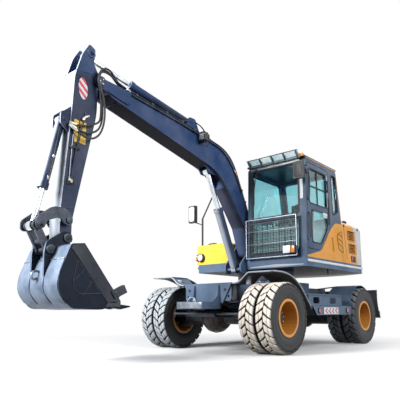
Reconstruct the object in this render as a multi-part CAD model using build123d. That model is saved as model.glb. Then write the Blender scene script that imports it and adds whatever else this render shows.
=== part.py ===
"""Wheeled excavator with twin tyres, a cab on the left, a digging arm and a dozer blade at the rear.

Millimetres. +X points forward to the steered axle and the digging arm, +Y to the machine's left
and +Z up. The machine is drawn about the middle of its wheelbase and moved at the end, so that
the saved pieces stand on Z = 0 with their origin under the middle of the machine's length.
"""

import os
from math import asin, cos, hypot, pi, radians, sin, sqrt, tan

from build123d import *

# ---- Frame ----------------------------------------------------------------------------------
ORIGIN_X = 1010.0  # place of the saved origin, forward of the middle of the wheelbase

# ---- Wheels and axles -----------------------------------------------------------------------
WHEELBASE = 2300.0
WHEELS_WIDTH = 2188.0  # over the outer tyres
TYRE_RADIUS = 430.0  # to the lugs' tips
TYRE_WIDTH = 225.0
TWIN_GAP = 20.0  # between the two tyres of a pair
LUG_HEIGHT = 30.0
LUGS_PER_ROW = 16
# Where the wheels stand
FRONT_AXLE_X = WHEELBASE / 2
REAR_AXLE_X = -WHEELBASE / 2
AXLE_Z = TYRE_RADIUS
OUTER_TYRE_Y = WHEELS_WIDTH / 2 - TYRE_WIDTH / 2
INNER_TYRE_Y = OUTER_TYRE_Y - TYRE_WIDTH - TWIN_GAP
PAIR_Y = (OUTER_TYRE_Y + INNER_TYRE_Y) / 2
TREAD_RADIUS = TYRE_RADIUS - LUG_HEIGHT
WHEEL_INNER_Y = INNER_TYRE_Y - TYRE_WIDTH / 2

LUG_LENGTH = 62.0  # along the tread
LUG_SLANT = 60.0  # how far a lug runs round the tyre between its two ends
LUG_SINK = 6.0  # how far a lug's root goes into the casing
CENTRE_GROOVE = 14.0
SIDEWALL_RADIUS = 320.0  # where the tyre is widest
SHOULDER_INSET = 5.0
RIM_RADIUS = 207.0  # the seat of the tyre
RIM_FLANGE = 229.0
RIM_SIDES = 24
RIM_WALL = 9.0
FLANGE_WALL = 9.0
BEAD_INSET = 32.0  # from the tyre's widest place to its bead
FLANGE_SET = 7.0  # the flange stands this far outside the bead
DISC_WALL = 24.0
DISH_TAPER = 12.0
HUB_RADIUS = 92.0
HUB_REACH = 84.0  # hub cap beyond the disc
STEER_HUB_RADIUS = 78.0
SEAT_GAP = 0.4  # between a turned piece and the piece that it fits over

KINGPIN_INSET = 26.0  # inside the inner tyre
KINGPIN_Y = WHEEL_INNER_Y + KINGPIN_INSET
KINGPIN_RADIUS = 24.0
FORK_HEIGHT = 118.0  # of the axle's fork arms above and below the axle line
FORK_WALL = 26.0
FORK_HALF = 62.0
FORK_ROOT_HALF = 40.0  # the fork is waisted so that the steering arm can pass it
FORK_ROOT = (90.0, 150.0)  # inboard of the kingpin
KNUCKLE_GAP = 5.0
STEER_ARM = 250.0  # from the kingpin to the tie rod's pin
STEER_EYE_INSET = -75.0  # the tie rod's pins lie inboard of the kingpins
STEER_ROD_RISE = 48.0
STEER_ARM_WALL = 24.0
STEER_ROD_RADIUS = 16.0
STEER_EYE_RADIUS = 22.0
STEER_EYE_HALF = 20.0
STEER_BARREL_RADIUS = 42.0
STEER_BARREL_LENGTH = 310.0
DIFF_RADIUS = 205.0
DIFF_Y = -40.0
DIFF_SIDES = 32
DIFF_BANDS = 6
DIFF_CAP_ANGLE = 66  # the housing's ends, from its middle
AXLE_TUBE_RADIUS = 88.0
REAR_TUBE_RADIUS = 140.0

# ---- Chassis --------------------------------------------------------------------------------
FRAME_HALF = 300.0
FRAME_TOP = 930.0
FRAME_FLOOR = 640.0
RING_BASE_HALF = 480.0
FRONT_OVERHANG = 255.0  # of the front plate before the axle
FRONT_PLATE_X = FRONT_AXLE_X + FRONT_OVERHANG
FRONT_PLATE_HALF = 412.0
FRONT_PLATE_FOOT_HALF = 262.0
FRONT_PLATE_TOP = 871.0
FRONT_PLATE_FOOT = 612.0
PLATE_WALL = 20.0
RIB_Y = 208.0
RIB_REACH = 155.0
TOW_BOX = {"reach": 335.0, "half": 218.0, "floor": 540.0, "top": 630.0}
TIE_HOLE_RADIUS = 16.0
TIE_HOLE_Z = 700.0
TIE_HOLE_Y = 346.0
REAR_OVERHANG = 240.0
REAR_PLATE_X = REAR_AXLE_X - REAR_OVERHANG
SLEW_RADIUS = 430.0
SLEW_GAP = 6.0

WHEELS_HALF = WHEELS_WIDTH / 2
FENDER_OUTER = WHEELS_HALF - 64.0
FENDER_INNER = WHEEL_INNER_Y + 12.0
FENDER_WALL = 8.0
FRONT_ARCH_TOP = 987.0
FRONT_ARCH_BEND = (FRONT_AXLE_X - 256.0, 983.0)
FRONT_ARCH_RADIUS = 760.0
REAR_ARCH_RADIUS = 470.0
REAR_ARCH_ANGLES = (3.0, 62.0, 122.0)
STEP_WALL = 10.0
STEP_FRONT = FRONT_AXLE_X - 720.0
STEP_REAR = REAR_AXLE_X + 469.0
STEP_TAIL = 20.0  # how far it runs on to meet the rear fender
STEP_NOSE = 82.0  # how far the lower tread runs on to meet the front fender
STEP_TOP = 728.0
STEP_FOOT = 455.0
LOWER_STEP_TOP = 575.0
LOWER_STEP_IN = WHEELS_HALF - 194.0
LOWER_STEP_OUT = WHEELS_HALF - 32.0
UPPER_STEP_OUT = WHEELS_HALF - 94.0
UPPER_STEP_HALF = 500.0
STEP_LAMP_RADIUS = 34.0
STEP_LAMP_DEPTH = 16.0

# ---- Dozer blade ----------------------------------------------------------------------------
BLADE_HALF = 1080.0
BLADE_TOP = (REAR_AXLE_X - 569.0, 848.0)
BLADE_EDGE = (REAR_AXLE_X - 669.0, 385.0)
BLADE_WALL = 14.0
BLADE_HOLLOW = 50.0  # depth of the mouldboard's curve
BLADE_LINK = 320.0
BLADE_LINK_LIFT = 30.0  # degrees above level
BLADE_LOW_PIN = (REAR_AXLE_X - 212.0, 352.0)
BLADE_LINK_RISE = 200.0  # from the lower arms' pins to the upper links'
BLADE_ARM_Y = 330.0
BLADE_BOSS_RADIUS = 34.0
BLADE_BOSS_GAP = 26.0  # from a link's middle to the face of the boss beside it
BLADE_PIN_RADIUS = 20.0
HANGER_Y = 150.0
HANGER_WALL = 24.0
BLADE_UPPER_Y = 215.0
RAM_LUG_Y = 58.0
RAM_LUG_WALL = 18.0
RAM_LUG_ROUND = 36.0  # from a lug's pin to its rim
BLADE_RAM = {
    "base": (REAR_AXLE_X - 280.0, 770.0),
    "eye": (REAR_AXLE_X - 338.0, 386.0),
    "head": (REAR_AXLE_X - 323.0, 483.0),
    "bore": 44.0,
    "rod": 25.0,
    "travel": 20.0,
}
BLADE_TIE_PLACE = 0.74  # of the way along the lower links
BLADE_TIE_RADIUS = 24.0
BLADE_RAM_CLEARANCE = 22.0  # round the cylinder's base, in the frame

# ---- House ----------------------------------------------------------------------------------
SLEW_X = 0.0
HOUSE_HALF = 993.0
HOUSE_FRONT = 487.0
DECK_FLOOR = 1108.0
DECK_TOP = 1236.0
TAIL_RADIUS = 1720.0
TAIL_CORNER = 140.0
TAIL_TURN = pi / 2 - asin(HOUSE_HALF / TAIL_RADIUS)  # how far its side turns to meet its round back
TAIL_SIDE = TAIL_CORNER * tan(TAIL_TURN / 2) + 7.0  # straight length of the counterweight's side
TAIL_FRONT = TAIL_SIDE - sqrt(TAIL_RADIUS**2 - HOUSE_HALF**2)
TAIL_TOP = 1820.0
HOOD_FRONT = -650.0
HOOD_TOP = 1884.0
HOOD_WALL = 26.0
TANK_LEFT = -338.0
TANK_TOP = 1556.0
TANK_REAR = -620.0
TANK_ROUND = 40.0
BRACKET_WALL = 25.0
HOOD_ROUND = 70.0
ENGINE_BOX = (TAIL_FRONT + 95.0, HOOD_FRONT - 110.0, -330.0, 330.0, DECK_TOP, HOOD_TOP - 104.0)
# Louvred openings in the hood's sides: middle forward of the hood's own, half length, z0, z1
GRILLES = (
    (17.5, 125.0, 1612.0, 1757.0),
    (-6.5, 126.0, 1405.0, 1550.0),
)
SLATS_PER_GRILLE = 6
SLAT_WALL = 7.0

CAB_RIGHT = 16.0
CAB_WALL = 46.0
CAB_ROOF = 2650.0
ROOF_WALL = 34.0
CAB_FRONT_TOP = 447.0
CAB_REAR_TOP = -513.0
CAB_REAR_FOOT = -645.0
CAB_ROUND = 60.0
ROOF_OVERHANG = 22.0
ROOF_CHAMFER = 14.0
PANE = 6.0
PANE_INSET = 18.0
WINDOW_RIGHT = 92.0
WINDOW_LEFT = 884.0
# The windscreen, the window below it and the rear window: x0, x1, low, high
FRONT_AND_REAR_WINDOWS = (
    (300.0, 520.0, 1848.0, 2590.0),
    (380.0, 520.0, 1330.0, 1786.0),
    (-700.0, -440.0, 1935.0, 2560.0),
)
REAR_SIDE_WINDOW = (
    (-338.0, 2560.0, 30),
    (-498.0, 2560.0, 30),
    (-545.0, 1990.0, 30),
    (-352.0, 1915.0, 30),
)
RIGHT_WINDOW = (
    (390.0, 1720.0, 50),
    (380.0, 2560.0, 50),
    (-430.0, 2560.0, 50),
    (-520.0, 1960.0, 50),
    (-520.0, 1720.0, 50),
)
DOOR_OUTLINE = (
    (432.0, 1350.0, 30),
    (60.0, 1350.0, 90),
    (-262.0, 1700.0, 90),
    (-262.0, 2590.0, 90),
    (420.0, 2590.0, 50),
)
SEAT_BACK_TOP = 900.0  # above the cab's floor
SEAT_BACK_HALF = 230.0
DOOR_UPPER_WINDOW = (
    (372.0, 1990.0, 20),
    (-176.0, 1990.0, 20),
    (-176.0, 2520.0, 80),
    (362.0, 2520.0, 40),
)
DOOR_LOWER_WINDOW = (
    (320.0, 1920.0, 40),
    (320.0, 1440.0, 40),
    (40.0, 1440.0, 80),
    (-176.0, 1700.0, 80),
    (-176.0, 1920.0, 40),
)
DOOR_GAP = 8.0
DOOR_WALL = 40.0
DOOR_HINGE = (440.0, 1006.0)
DOOR_HINGE_LEVELS = (1500.0, 2440.0)
HINGE_RADIUS = 12.0
LOWER_PANEL = (
    (472.0, 1236.0),
    (472.0, 1256.0),
    (60.0, 1350.0, 200),
    (-262.0, 1700.0, 300),
    (-430.0, 1819.0, 200),
    (-645.0, 1819.0),
    (-645.0, 1236.0),
)

GUARD_STAND = 48.0
GUARD_BOX = (30.0, 884.0, 1250.0, 1826.0)
GUARD_RAIL = 20.0
GUARD_UPRIGHTS = 8
GUARD_CROSSES = 6
VISOR_LOW = (485.0, 2632.0)
VISOR_HIGH = (560.0, 2738.0)
VISOR_WALL = 6.0
VISOR_RIGHT = 70.0
VISOR_LEFT = 940.0
VISOR_STAYS = 5
# Mirror heads: x0, x1, y0, y1, z0, z1
LEFT_MIRROR = (565.0, 625.0, 900.0, 1044.0, 2300.0, 2545.0)
RIGHT_MIRROR = (470.0, 530.0, -1150.0, -1010.0, 1940.0, 2222.0)
MIRROR_STEM = (442.0, 2520.0)  # place of the left mirror's arm on the cab's side
MIRROR_POLE = (430.0, -930.0)
POLE_BEND = 2000.0
HANDRAIL_END = (270.0, -820.0, 2440.0)
LEFT_LAMP = (690.0, 800.0)
LEFT_INDICATOR = (804.0, 872.0)
LAMP_LEVELS = (1286.0, 1392.0)
LAMP_DEPTH = 55.0
RIGHT_LAMP = (-895.0, 1350.0)
RIGHT_LAMP_RADIUS = 66.0
RIGHT_INDICATOR = (-985.0, -968.0)

# ---- Digging arm ----------------------------------------------------------------------------
BOOM_Y = -170.0
BOOM_HALF = 122.0
BOOM_FOOT = (200.0, 1400.0)
BOOM_TIP = (3161.0, 3042.0)
BOOM_PIN_RADIUS = 35.0
FORK_CHEEK = 20.0
ARM_HALF = 105.0
SIDE_GAP = 6.0
ARM_PIN_RADIUS = 30.0
BUCKET_PIN = (3486.0, 1239.0)
LINK_PIN = (3664.0, 1111.0)
GUIDE_PIN = (3494.0, 1413.0)
RAM_PIN = (3796.0, 1338.0)
BUCKET_HALF = 370.0
BUCKET_WALL = 16.0
TOOTH_COUNT = 5
EAR_INNER = 102.0
EAR_WALL = 24.0
ARM_END_HALF = 95.0
ARM_END_TOP = 1400.0  # the arm is narrower below this
TIP_SWEEP = 150.0  # free circle about the arm's pin, inside the boom's fork
BASE_SWEEP = 82.0
EYE_SWEEP_REAR = 170.0  # free space about the rod's eye, inside the boom
EYE_SWEEP_FRONT = 95.0
EYE_SWEEP_TOP = 120.0
RECESS_HALF = 80.0  # half width of the recess in the boom's belly that takes the barrel
EAR_GAP_HALF = 80.0
LUG_INNER = 62.0
LUG_WALL = 20.0
GUIDE_INNER = 132.0
GUIDE_OUTER = 154.0
LINK_INNER = 58.0
LINK_OUTER = 92.0
BUCKET_OUTLINE = (
    (3444.0, 1170.0),
    (2985.0, 615.0),
    (2985.0, 558.0),
    (3240.0, 541.0),
    (3560.0, 541.0, 120),
    (3708.0, 700.0, 140),
    (3708.0, 860.0, 200),
    (3590.0, 1152.0, 50),
)
BUCKET_HOLLOW = (
    (3446.0, 1220.0),
    (2920.0, 580.0),
    (3240.0, 560.0),
    (3552.0, 560.0, 105),
    (3690.0, 706.0, 125),
    (3690.0, 858.0, 185),
    (3578.0, 1134.0, 36),
    (3455.0, 1152.0),
)
TOOTH_OUTLINE = (
    (3060.0, 574.0),
    (2960.0, 586.0),
    (2835.0, 572.0),
    (2835.0, 560.0),
    (2960.0, 536.0),
    (3060.0, 552.0),
)

# Each cylinder: its two pins, the end of its barrel, the barrel's and the rod's radius, and how
# far the rod still goes in from where it stands
BOOM_RAM = {
    "base": (560.0, 1118.0),
    "eye": (1197.0, 2486.0),
    "head": (935.0, 1991.0),
    "bore": 62.0,
    "rod": 36.0,
    "travel": 440.0,
}
ARM_RAM = {
    "base": (1605.0, 3085.0),
    "eye": (3288.0, 3335.0),
    "head": (2666.0, 3262.0),
    "bore": 52.0,
    "rod": 30.0,
    "travel": 285.0,
}
BUCKET_RAM = {
    "base": (3556.0, 2492.0),
    "eye": RAM_PIN,
    "head": (3719.0, 1728.0),
    "bore": 46.0,
    "rod": 28.0,
    "travel": 220.0,
}
EYE_WALL = 22.0
EYE_HALF = 38.0
BOOM_RAM_PIN = 26.0
GLAND_LENGTH = 60.0
GLAND_RIM = 8.0
PIN_STUB = 14.0
PIN_PLAY = 0.3

# ---- Helpers --------------------------------------------------------------------------------
def block(x0, x1, y0, y1, z0, z1):
    """A box between two corners."""
    size = Box(x1 - x0, y1 - y0, z1 - z0, align=(Align.MIN, Align.MIN, Align.MIN))
    return Pos(x0, y0, z0) * size


def outline(corners):
    """A flat face through (u, v) corners. A corner with a third value is rounded to that radius."""
    radii = [corner[2] if len(corner) > 2 else 0.0 for corner in corners]
    return make_face(FilletPolyline(*[corner[:2] for corner in corners], radius=radii, close=True))


def side_plate(corners, y0, y1):
    """A plate between two Y planes, whose outline is given as (x, z) corners."""
    plane = Plane(origin=(0, y1, 0), x_dir=(1, 0, 0), z_dir=(0, -1, 0))
    return extrude(plane * outline(corners), amount=y1 - y0)


def front_plate(corners, x0, x1):
    """A plate between two X planes, whose outline is given as (y, z) corners."""
    plane = Plane(origin=(x0, 0, 0), x_dir=(0, 1, 0), z_dir=(1, 0, 0))
    return extrude(plane * outline(corners), amount=x1 - x0)


def level_plate(corners, z0, z1):
    """A plate between two Z planes, whose outline is given as (x, y) corners."""
    return extrude(Plane.XY.offset(z0) * outline(corners), amount=z1 - z0)


def bar(start, stop, radius, stop_radius=None):
    """A round bar, or a taper, from one point to another."""
    start, stop = Vector(*start), Vector(*stop)
    length = (stop - start).length
    plane = Plane(origin=start, z_dir=stop - start)
    low = (Align.CENTER, Align.CENTER, Align.MIN)
    if stop_radius is None:
        return plane * Cylinder(radius, length, align=low)
    return plane * Cone(radius, stop_radius, length, align=low)


def cross_bar(place, radius, y0, y1):
    """A round bar along Y through an (x, z) place."""
    return bar((place[0], y0, place[1]), (place[0], y1, place[1]), radius)


def mirrored(shape):
    """The same piece on the machine's other side."""
    return mirror(shape, about=Plane.XZ)


def save(node, *shapes):
    """Moves a sub-part into the saved frame and writes it."""
    moved = [Pos(-ORIGIN_X, 0, 0) * solid for shape in shapes for solid in shape.solids()]
    os.makedirs("parts", exist_ok=True)
    export_step(Compound(moved), os.path.join("parts", node + ".step"))


def flat_ring(profile, sides):
    """A turned ring with flat sides about the Y axis. The profile is (radius, y) corners."""

    def corner(radius, y, n):
        turn = 2 * pi * (n + 0.5) / sides
        return Vector(radius * sin(turn), y, -radius * cos(turn))

    faces = []
    for n in range(sides):
        for k, (radius, y) in enumerate(profile):
            next_radius, next_y = profile[(k + 1) % len(profile)]
            loop = [
                corner(radius, y, n),
                corner(next_radius, next_y, n),
                corner(next_radius, next_y, n + 1),
                corner(radius, y, n + 1),
            ]
            faces.append(Face(Wire.make_polygon(loop, close=True)))
    return Solid(Shell(faces))


def between(start, stop, share):
    """The (x, z) point that lies a share of the way from one to the other."""
    return tuple(a + (b - a) * share for a, b in zip(start, stop))


def ram(sizes, y):
    """The barrel and the rod of a hydraulic cylinder that lies in one Y plane."""
    base, eye, head = sizes["base"], sizes["eye"], sizes["head"]
    bore, rod = sizes["bore"], sizes["rod"]
    length = hypot(eye[0] - base[0], eye[1] - base[1])
    along = ((eye[0] - base[0]) / length, (eye[1] - base[1]) / length)

    def at(distance):
        return (base[0] + along[0] * distance, y, base[1] + along[1] * distance)

    stroke_end = hypot(head[0] - base[0], head[1] - base[1])
    eye_radius = rod + EYE_WALL
    barrel = bar(at(bore * 0.6), at(stroke_end), bore)
    barrel += bar(at(stroke_end - GLAND_LENGTH), at(stroke_end), bore + GLAND_RIM)
    barrel += cross_bar(base, eye_radius, y - EYE_HALF, y + EYE_HALF)
    barrel -= cross_bar(base, BOOM_RAM_PIN + PIN_PLAY, y - EYE_HALF - 1, y + EYE_HALF + 1)
    barrel -= bar(at(bore * 1.6), at(stroke_end + 1), rod + SEAT_GAP)
    piston_end = bore * 1.6 + 10 + sizes["travel"]
    shaft = bar(at(piston_end), at(length - eye_radius * 0.5), rod)
    shaft += cross_bar(eye, eye_radius, y - EYE_HALF, y + EYE_HALF)
    shaft += cross_bar(eye, BOOM_RAM_PIN, y - EYE_HALF - PIN_STUB, y + EYE_HALF + PIN_STUB)
    return barrel, shaft


# ---- Wheels ---------------------------------------------------------------------------------
def tyre():
    """One tyre about the Y axis: a flat-sided casing with two rows of slanting lugs."""
    half = TYRE_WIDTH / 2
    shoulder = half - SHOULDER_INSET
    bead = half - BEAD_INSET
    bore = (RIM_RADIUS + SEAT_GAP) / cos(pi / LUGS_PER_ROW)
    casing = flat_ring(
        [
            (bore, -bead),
            (SIDEWALL_RADIUS, -half),
            (TREAD_RADIUS, -shoulder),
            (TREAD_RADIUS, shoulder),
            (SIDEWALL_RADIUS, half),
            (bore, bead),
        ],
        LUGS_PER_ROW,
    )
    flat_depth = TREAD_RADIUS * cos(pi / LUGS_PER_ROW)
    tip = (TYRE_RADIUS**2 - ((LUG_LENGTH + LUG_SLANT) / 2) ** 2) ** 0.5
    near = CENTRE_GROOVE / 2
    near_offset = -LUG_SLANT / 2
    lug_face = [
        (near_offset - LUG_LENGTH / 2, near),
        (near_offset + LUG_LENGTH / 2, near),
        (-near_offset + LUG_LENGTH / 2, shoulder),
        (-near_offset - LUG_LENGTH / 2, shoulder),
    ]
    lug = level_plate(lug_face, -tip, -flat_depth + LUG_SINK)
    lugs = []
    for n in range(LUGS_PER_ROW):
        turn = 360.0 / LUGS_PER_ROW
        lugs.append(Rot(0, turn * n, 0) * lug)
        lugs.append(Rot(0, turn * (n + 0.5), 0) * mirror(lug, about=Plane.XZ))
    return casing + lugs


def rim_pair():
    """Both rims of a twin wheel about the Y axis, joined by their discs, with the hub cap outside."""
    outer_lip = OUTER_TYRE_Y - PAIR_Y + TYRE_WIDTH / 2 - BEAD_INSET + FLANGE_SET
    dish = RIM_RADIUS - RIM_WALL
    profile = [
        (RIM_FLANGE, -outer_lip - FLANGE_WALL),
        (RIM_FLANGE, -outer_lip),
        (RIM_RADIUS, -outer_lip),
        (RIM_RADIUS, outer_lip),
        (RIM_FLANGE, outer_lip),
        (RIM_FLANGE, outer_lip + FLANGE_WALL),
        (dish, outer_lip + FLANGE_WALL),
        (dish - DISH_TAPER, DISC_WALL / 2),
        (HUB_RADIUS, DISC_WALL / 2),
        (HUB_RADIUS, -DISC_WALL / 2),
        (dish - DISH_TAPER, -DISC_WALL / 2),
        (dish, -outer_lip - FLANGE_WALL),
    ]
    rim = flat_ring(profile, RIM_SIDES)
    hub = cross_bar((0, 0), HUB_RADIUS, -DISC_WALL / 2 - HUB_REACH, DISC_WALL / 2 + HUB_REACH)
    return rim + hub


def wheels():
    """The four twin wheels, each a pair of rims and a pair of tyres."""
    casing = tyre()
    rims = rim_pair()
    for axle, x in (("front", FRONT_AXLE_X), ("rear", REAR_AXLE_X)):
        for side, sign in (("left", 1), ("right", -1)):
            rim = rims if sign > 0 else mirrored(rims)
            save(f"rims_{axle}_{side}", Pos(x, sign * PAIR_Y, AXLE_Z) * rim)
            pair = [Pos(x, sign * y, AXLE_Z) * casing for y in (INNER_TYRE_Y, OUTER_TYRE_Y)]
            save(f"tyres_{axle}_{side}", *pair)


# ---- Axles and steering ---------------------------------------------------------------------
def diff_ball():
    """The round housing of a differential, about the Y axis, open where the axle tube passes."""
    bore = AXLE_TUBE_RADIUS - 20
    cap = DIFF_RADIUS * sin(radians(DIFF_CAP_ANGLE))
    step = 2 * DIFF_CAP_ANGLE // DIFF_BANDS
    profile = []
    for angle in range(-DIFF_CAP_ANGLE, DIFF_CAP_ANGLE + 1, step):
        profile.append((DIFF_RADIUS * cos(radians(angle)), DIFF_RADIUS * sin(radians(angle))))
    profile += [(bore, cap), (bore, -cap)]
    return flat_ring(profile, DIFF_SIDES)


def axles():
    """The axle beams with their differentials, the knuckles and the steering cylinder."""
    hub_face = PAIR_Y - DISC_WALL / 2 - HUB_REACH - KNUCKLE_GAP
    beam = Pos(FRONT_AXLE_X, DIFF_Y, AXLE_Z) * diff_ball()
    tube_end = KINGPIN_Y - FORK_ROOT[1] + FORK_WALL / 2
    beam += cross_bar((FRONT_AXLE_X, AXLE_Z), AXLE_TUBE_RADIUS, -tube_end, tube_end)
    beam += block(
        FRONT_AXLE_X - 90, FRONT_AXLE_X + 90, -90, 90, AXLE_Z, FRAME_FLOOR
    )
    for sign in (-1, 1):
        for level in (-1, 1):
            arm = block(-FORK_HALF, FORK_HALF, -112, 34, FORK_HEIGHT - FORK_WALL, FORK_HEIGHT)
            if level < 0:
                arm = mirror(arm, about=Plane.XY)
            if sign < 0:
                arm = mirrored(arm)
            beam += Pos(FRONT_AXLE_X, sign * KINGPIN_Y, AXLE_Z) * arm
        cheek = block(
            -FORK_ROOT_HALF, FORK_ROOT_HALF, -FORK_ROOT[1], -FORK_ROOT[0], -FORK_HEIGHT, FORK_HEIGHT
        )
        if sign < 0:
            cheek = mirrored(cheek)
        beam += Pos(FRONT_AXLE_X, sign * KINGPIN_Y, AXLE_Z) * cheek
    pin_x = FRONT_AXLE_X + STEER_ARM
    pin_z = AXLE_Z + STEER_ROD_RISE
    for sign in (-1, 1):
        beam -= bar(
            (FRONT_AXLE_X, sign * KINGPIN_Y, AXLE_Z - FORK_HEIGHT - 1),
            (FRONT_AXLE_X, sign * KINGPIN_Y, AXLE_Z + FORK_HEIGHT + 1),
            KINGPIN_RADIUS + PIN_PLAY,
        )
        beam += block(FRONT_AXLE_X, pin_x, sign * 110 - 12, sign * 110 + 12, pin_z - 34, pin_z + 30)
    half = STEER_BARREL_LENGTH / 2
    barrel = cross_bar((pin_x, pin_z), STEER_BARREL_RADIUS, -half, half)
    save("front_axle", beam - barrel)
    barrel -= cross_bar((pin_x, pin_z), STEER_ROD_RADIUS + SEAT_GAP, -half - 1, half + 1)
    save("steering_cylinder", barrel)
    rod_end = KINGPIN_Y + STEER_EYE_INSET
    rod = cross_bar((pin_x, pin_z), STEER_ROD_RADIUS, -rod_end, rod_end)
    for y in (-rod_end, rod_end):
        rod += bar((pin_x, y, pin_z - STEER_EYE_HALF), (pin_x, y, pin_z + STEER_EYE_HALF), STEER_EYE_RADIUS)
    save("steering_rod", rod)

    for side, sign in (("left", 1), ("right", -1)):
        reach = FORK_HEIGHT - FORK_WALL - KNUCKLE_GAP
        body = block(-FORK_HALF + 12, FORK_HALF - 12, -40, 40, -reach, reach)
        body += cross_bar((0, 0), STEER_HUB_RADIUS, -20, hub_face - KINGPIN_Y)
        body += bar((0, 0, -FORK_HEIGHT), (0, 0, FORK_HEIGHT), KINGPIN_RADIUS)
        arm_top = STEER_ROD_RISE - STEER_EYE_HALF - KNUCKLE_GAP
        arm = [
            (-40, -34),
            (-40, 10),
            (40, 10),
            (STEER_ARM + 26, STEER_EYE_INSET + 26, 24),
            (STEER_ARM + 26, STEER_EYE_INSET - 26, 24),
        ]
        body += level_plate(arm, arm_top - STEER_ARM_WALL, arm_top)
        if sign < 0:
            body = mirrored(body)
        save(f"knuckle_{side}", Pos(FRONT_AXLE_X, sign * KINGPIN_Y, AXLE_Z) * body)

    rear = Pos(REAR_AXLE_X, 0, AXLE_Z) * diff_ball()
    rear += cross_bar((REAR_AXLE_X, AXLE_Z), REAR_TUBE_RADIUS, -WHEEL_INNER_Y + 24, WHEEL_INNER_Y - 24)
    rear += cross_bar((REAR_AXLE_X, AXLE_Z), STEER_HUB_RADIUS, -hub_face, hub_face)
    rear += block(REAR_AXLE_X - 90, REAR_AXLE_X + 90, -260, 260, AXLE_Z, FRAME_FLOOR)
    save("rear_axle", rear)
    return beam, rear


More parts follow.
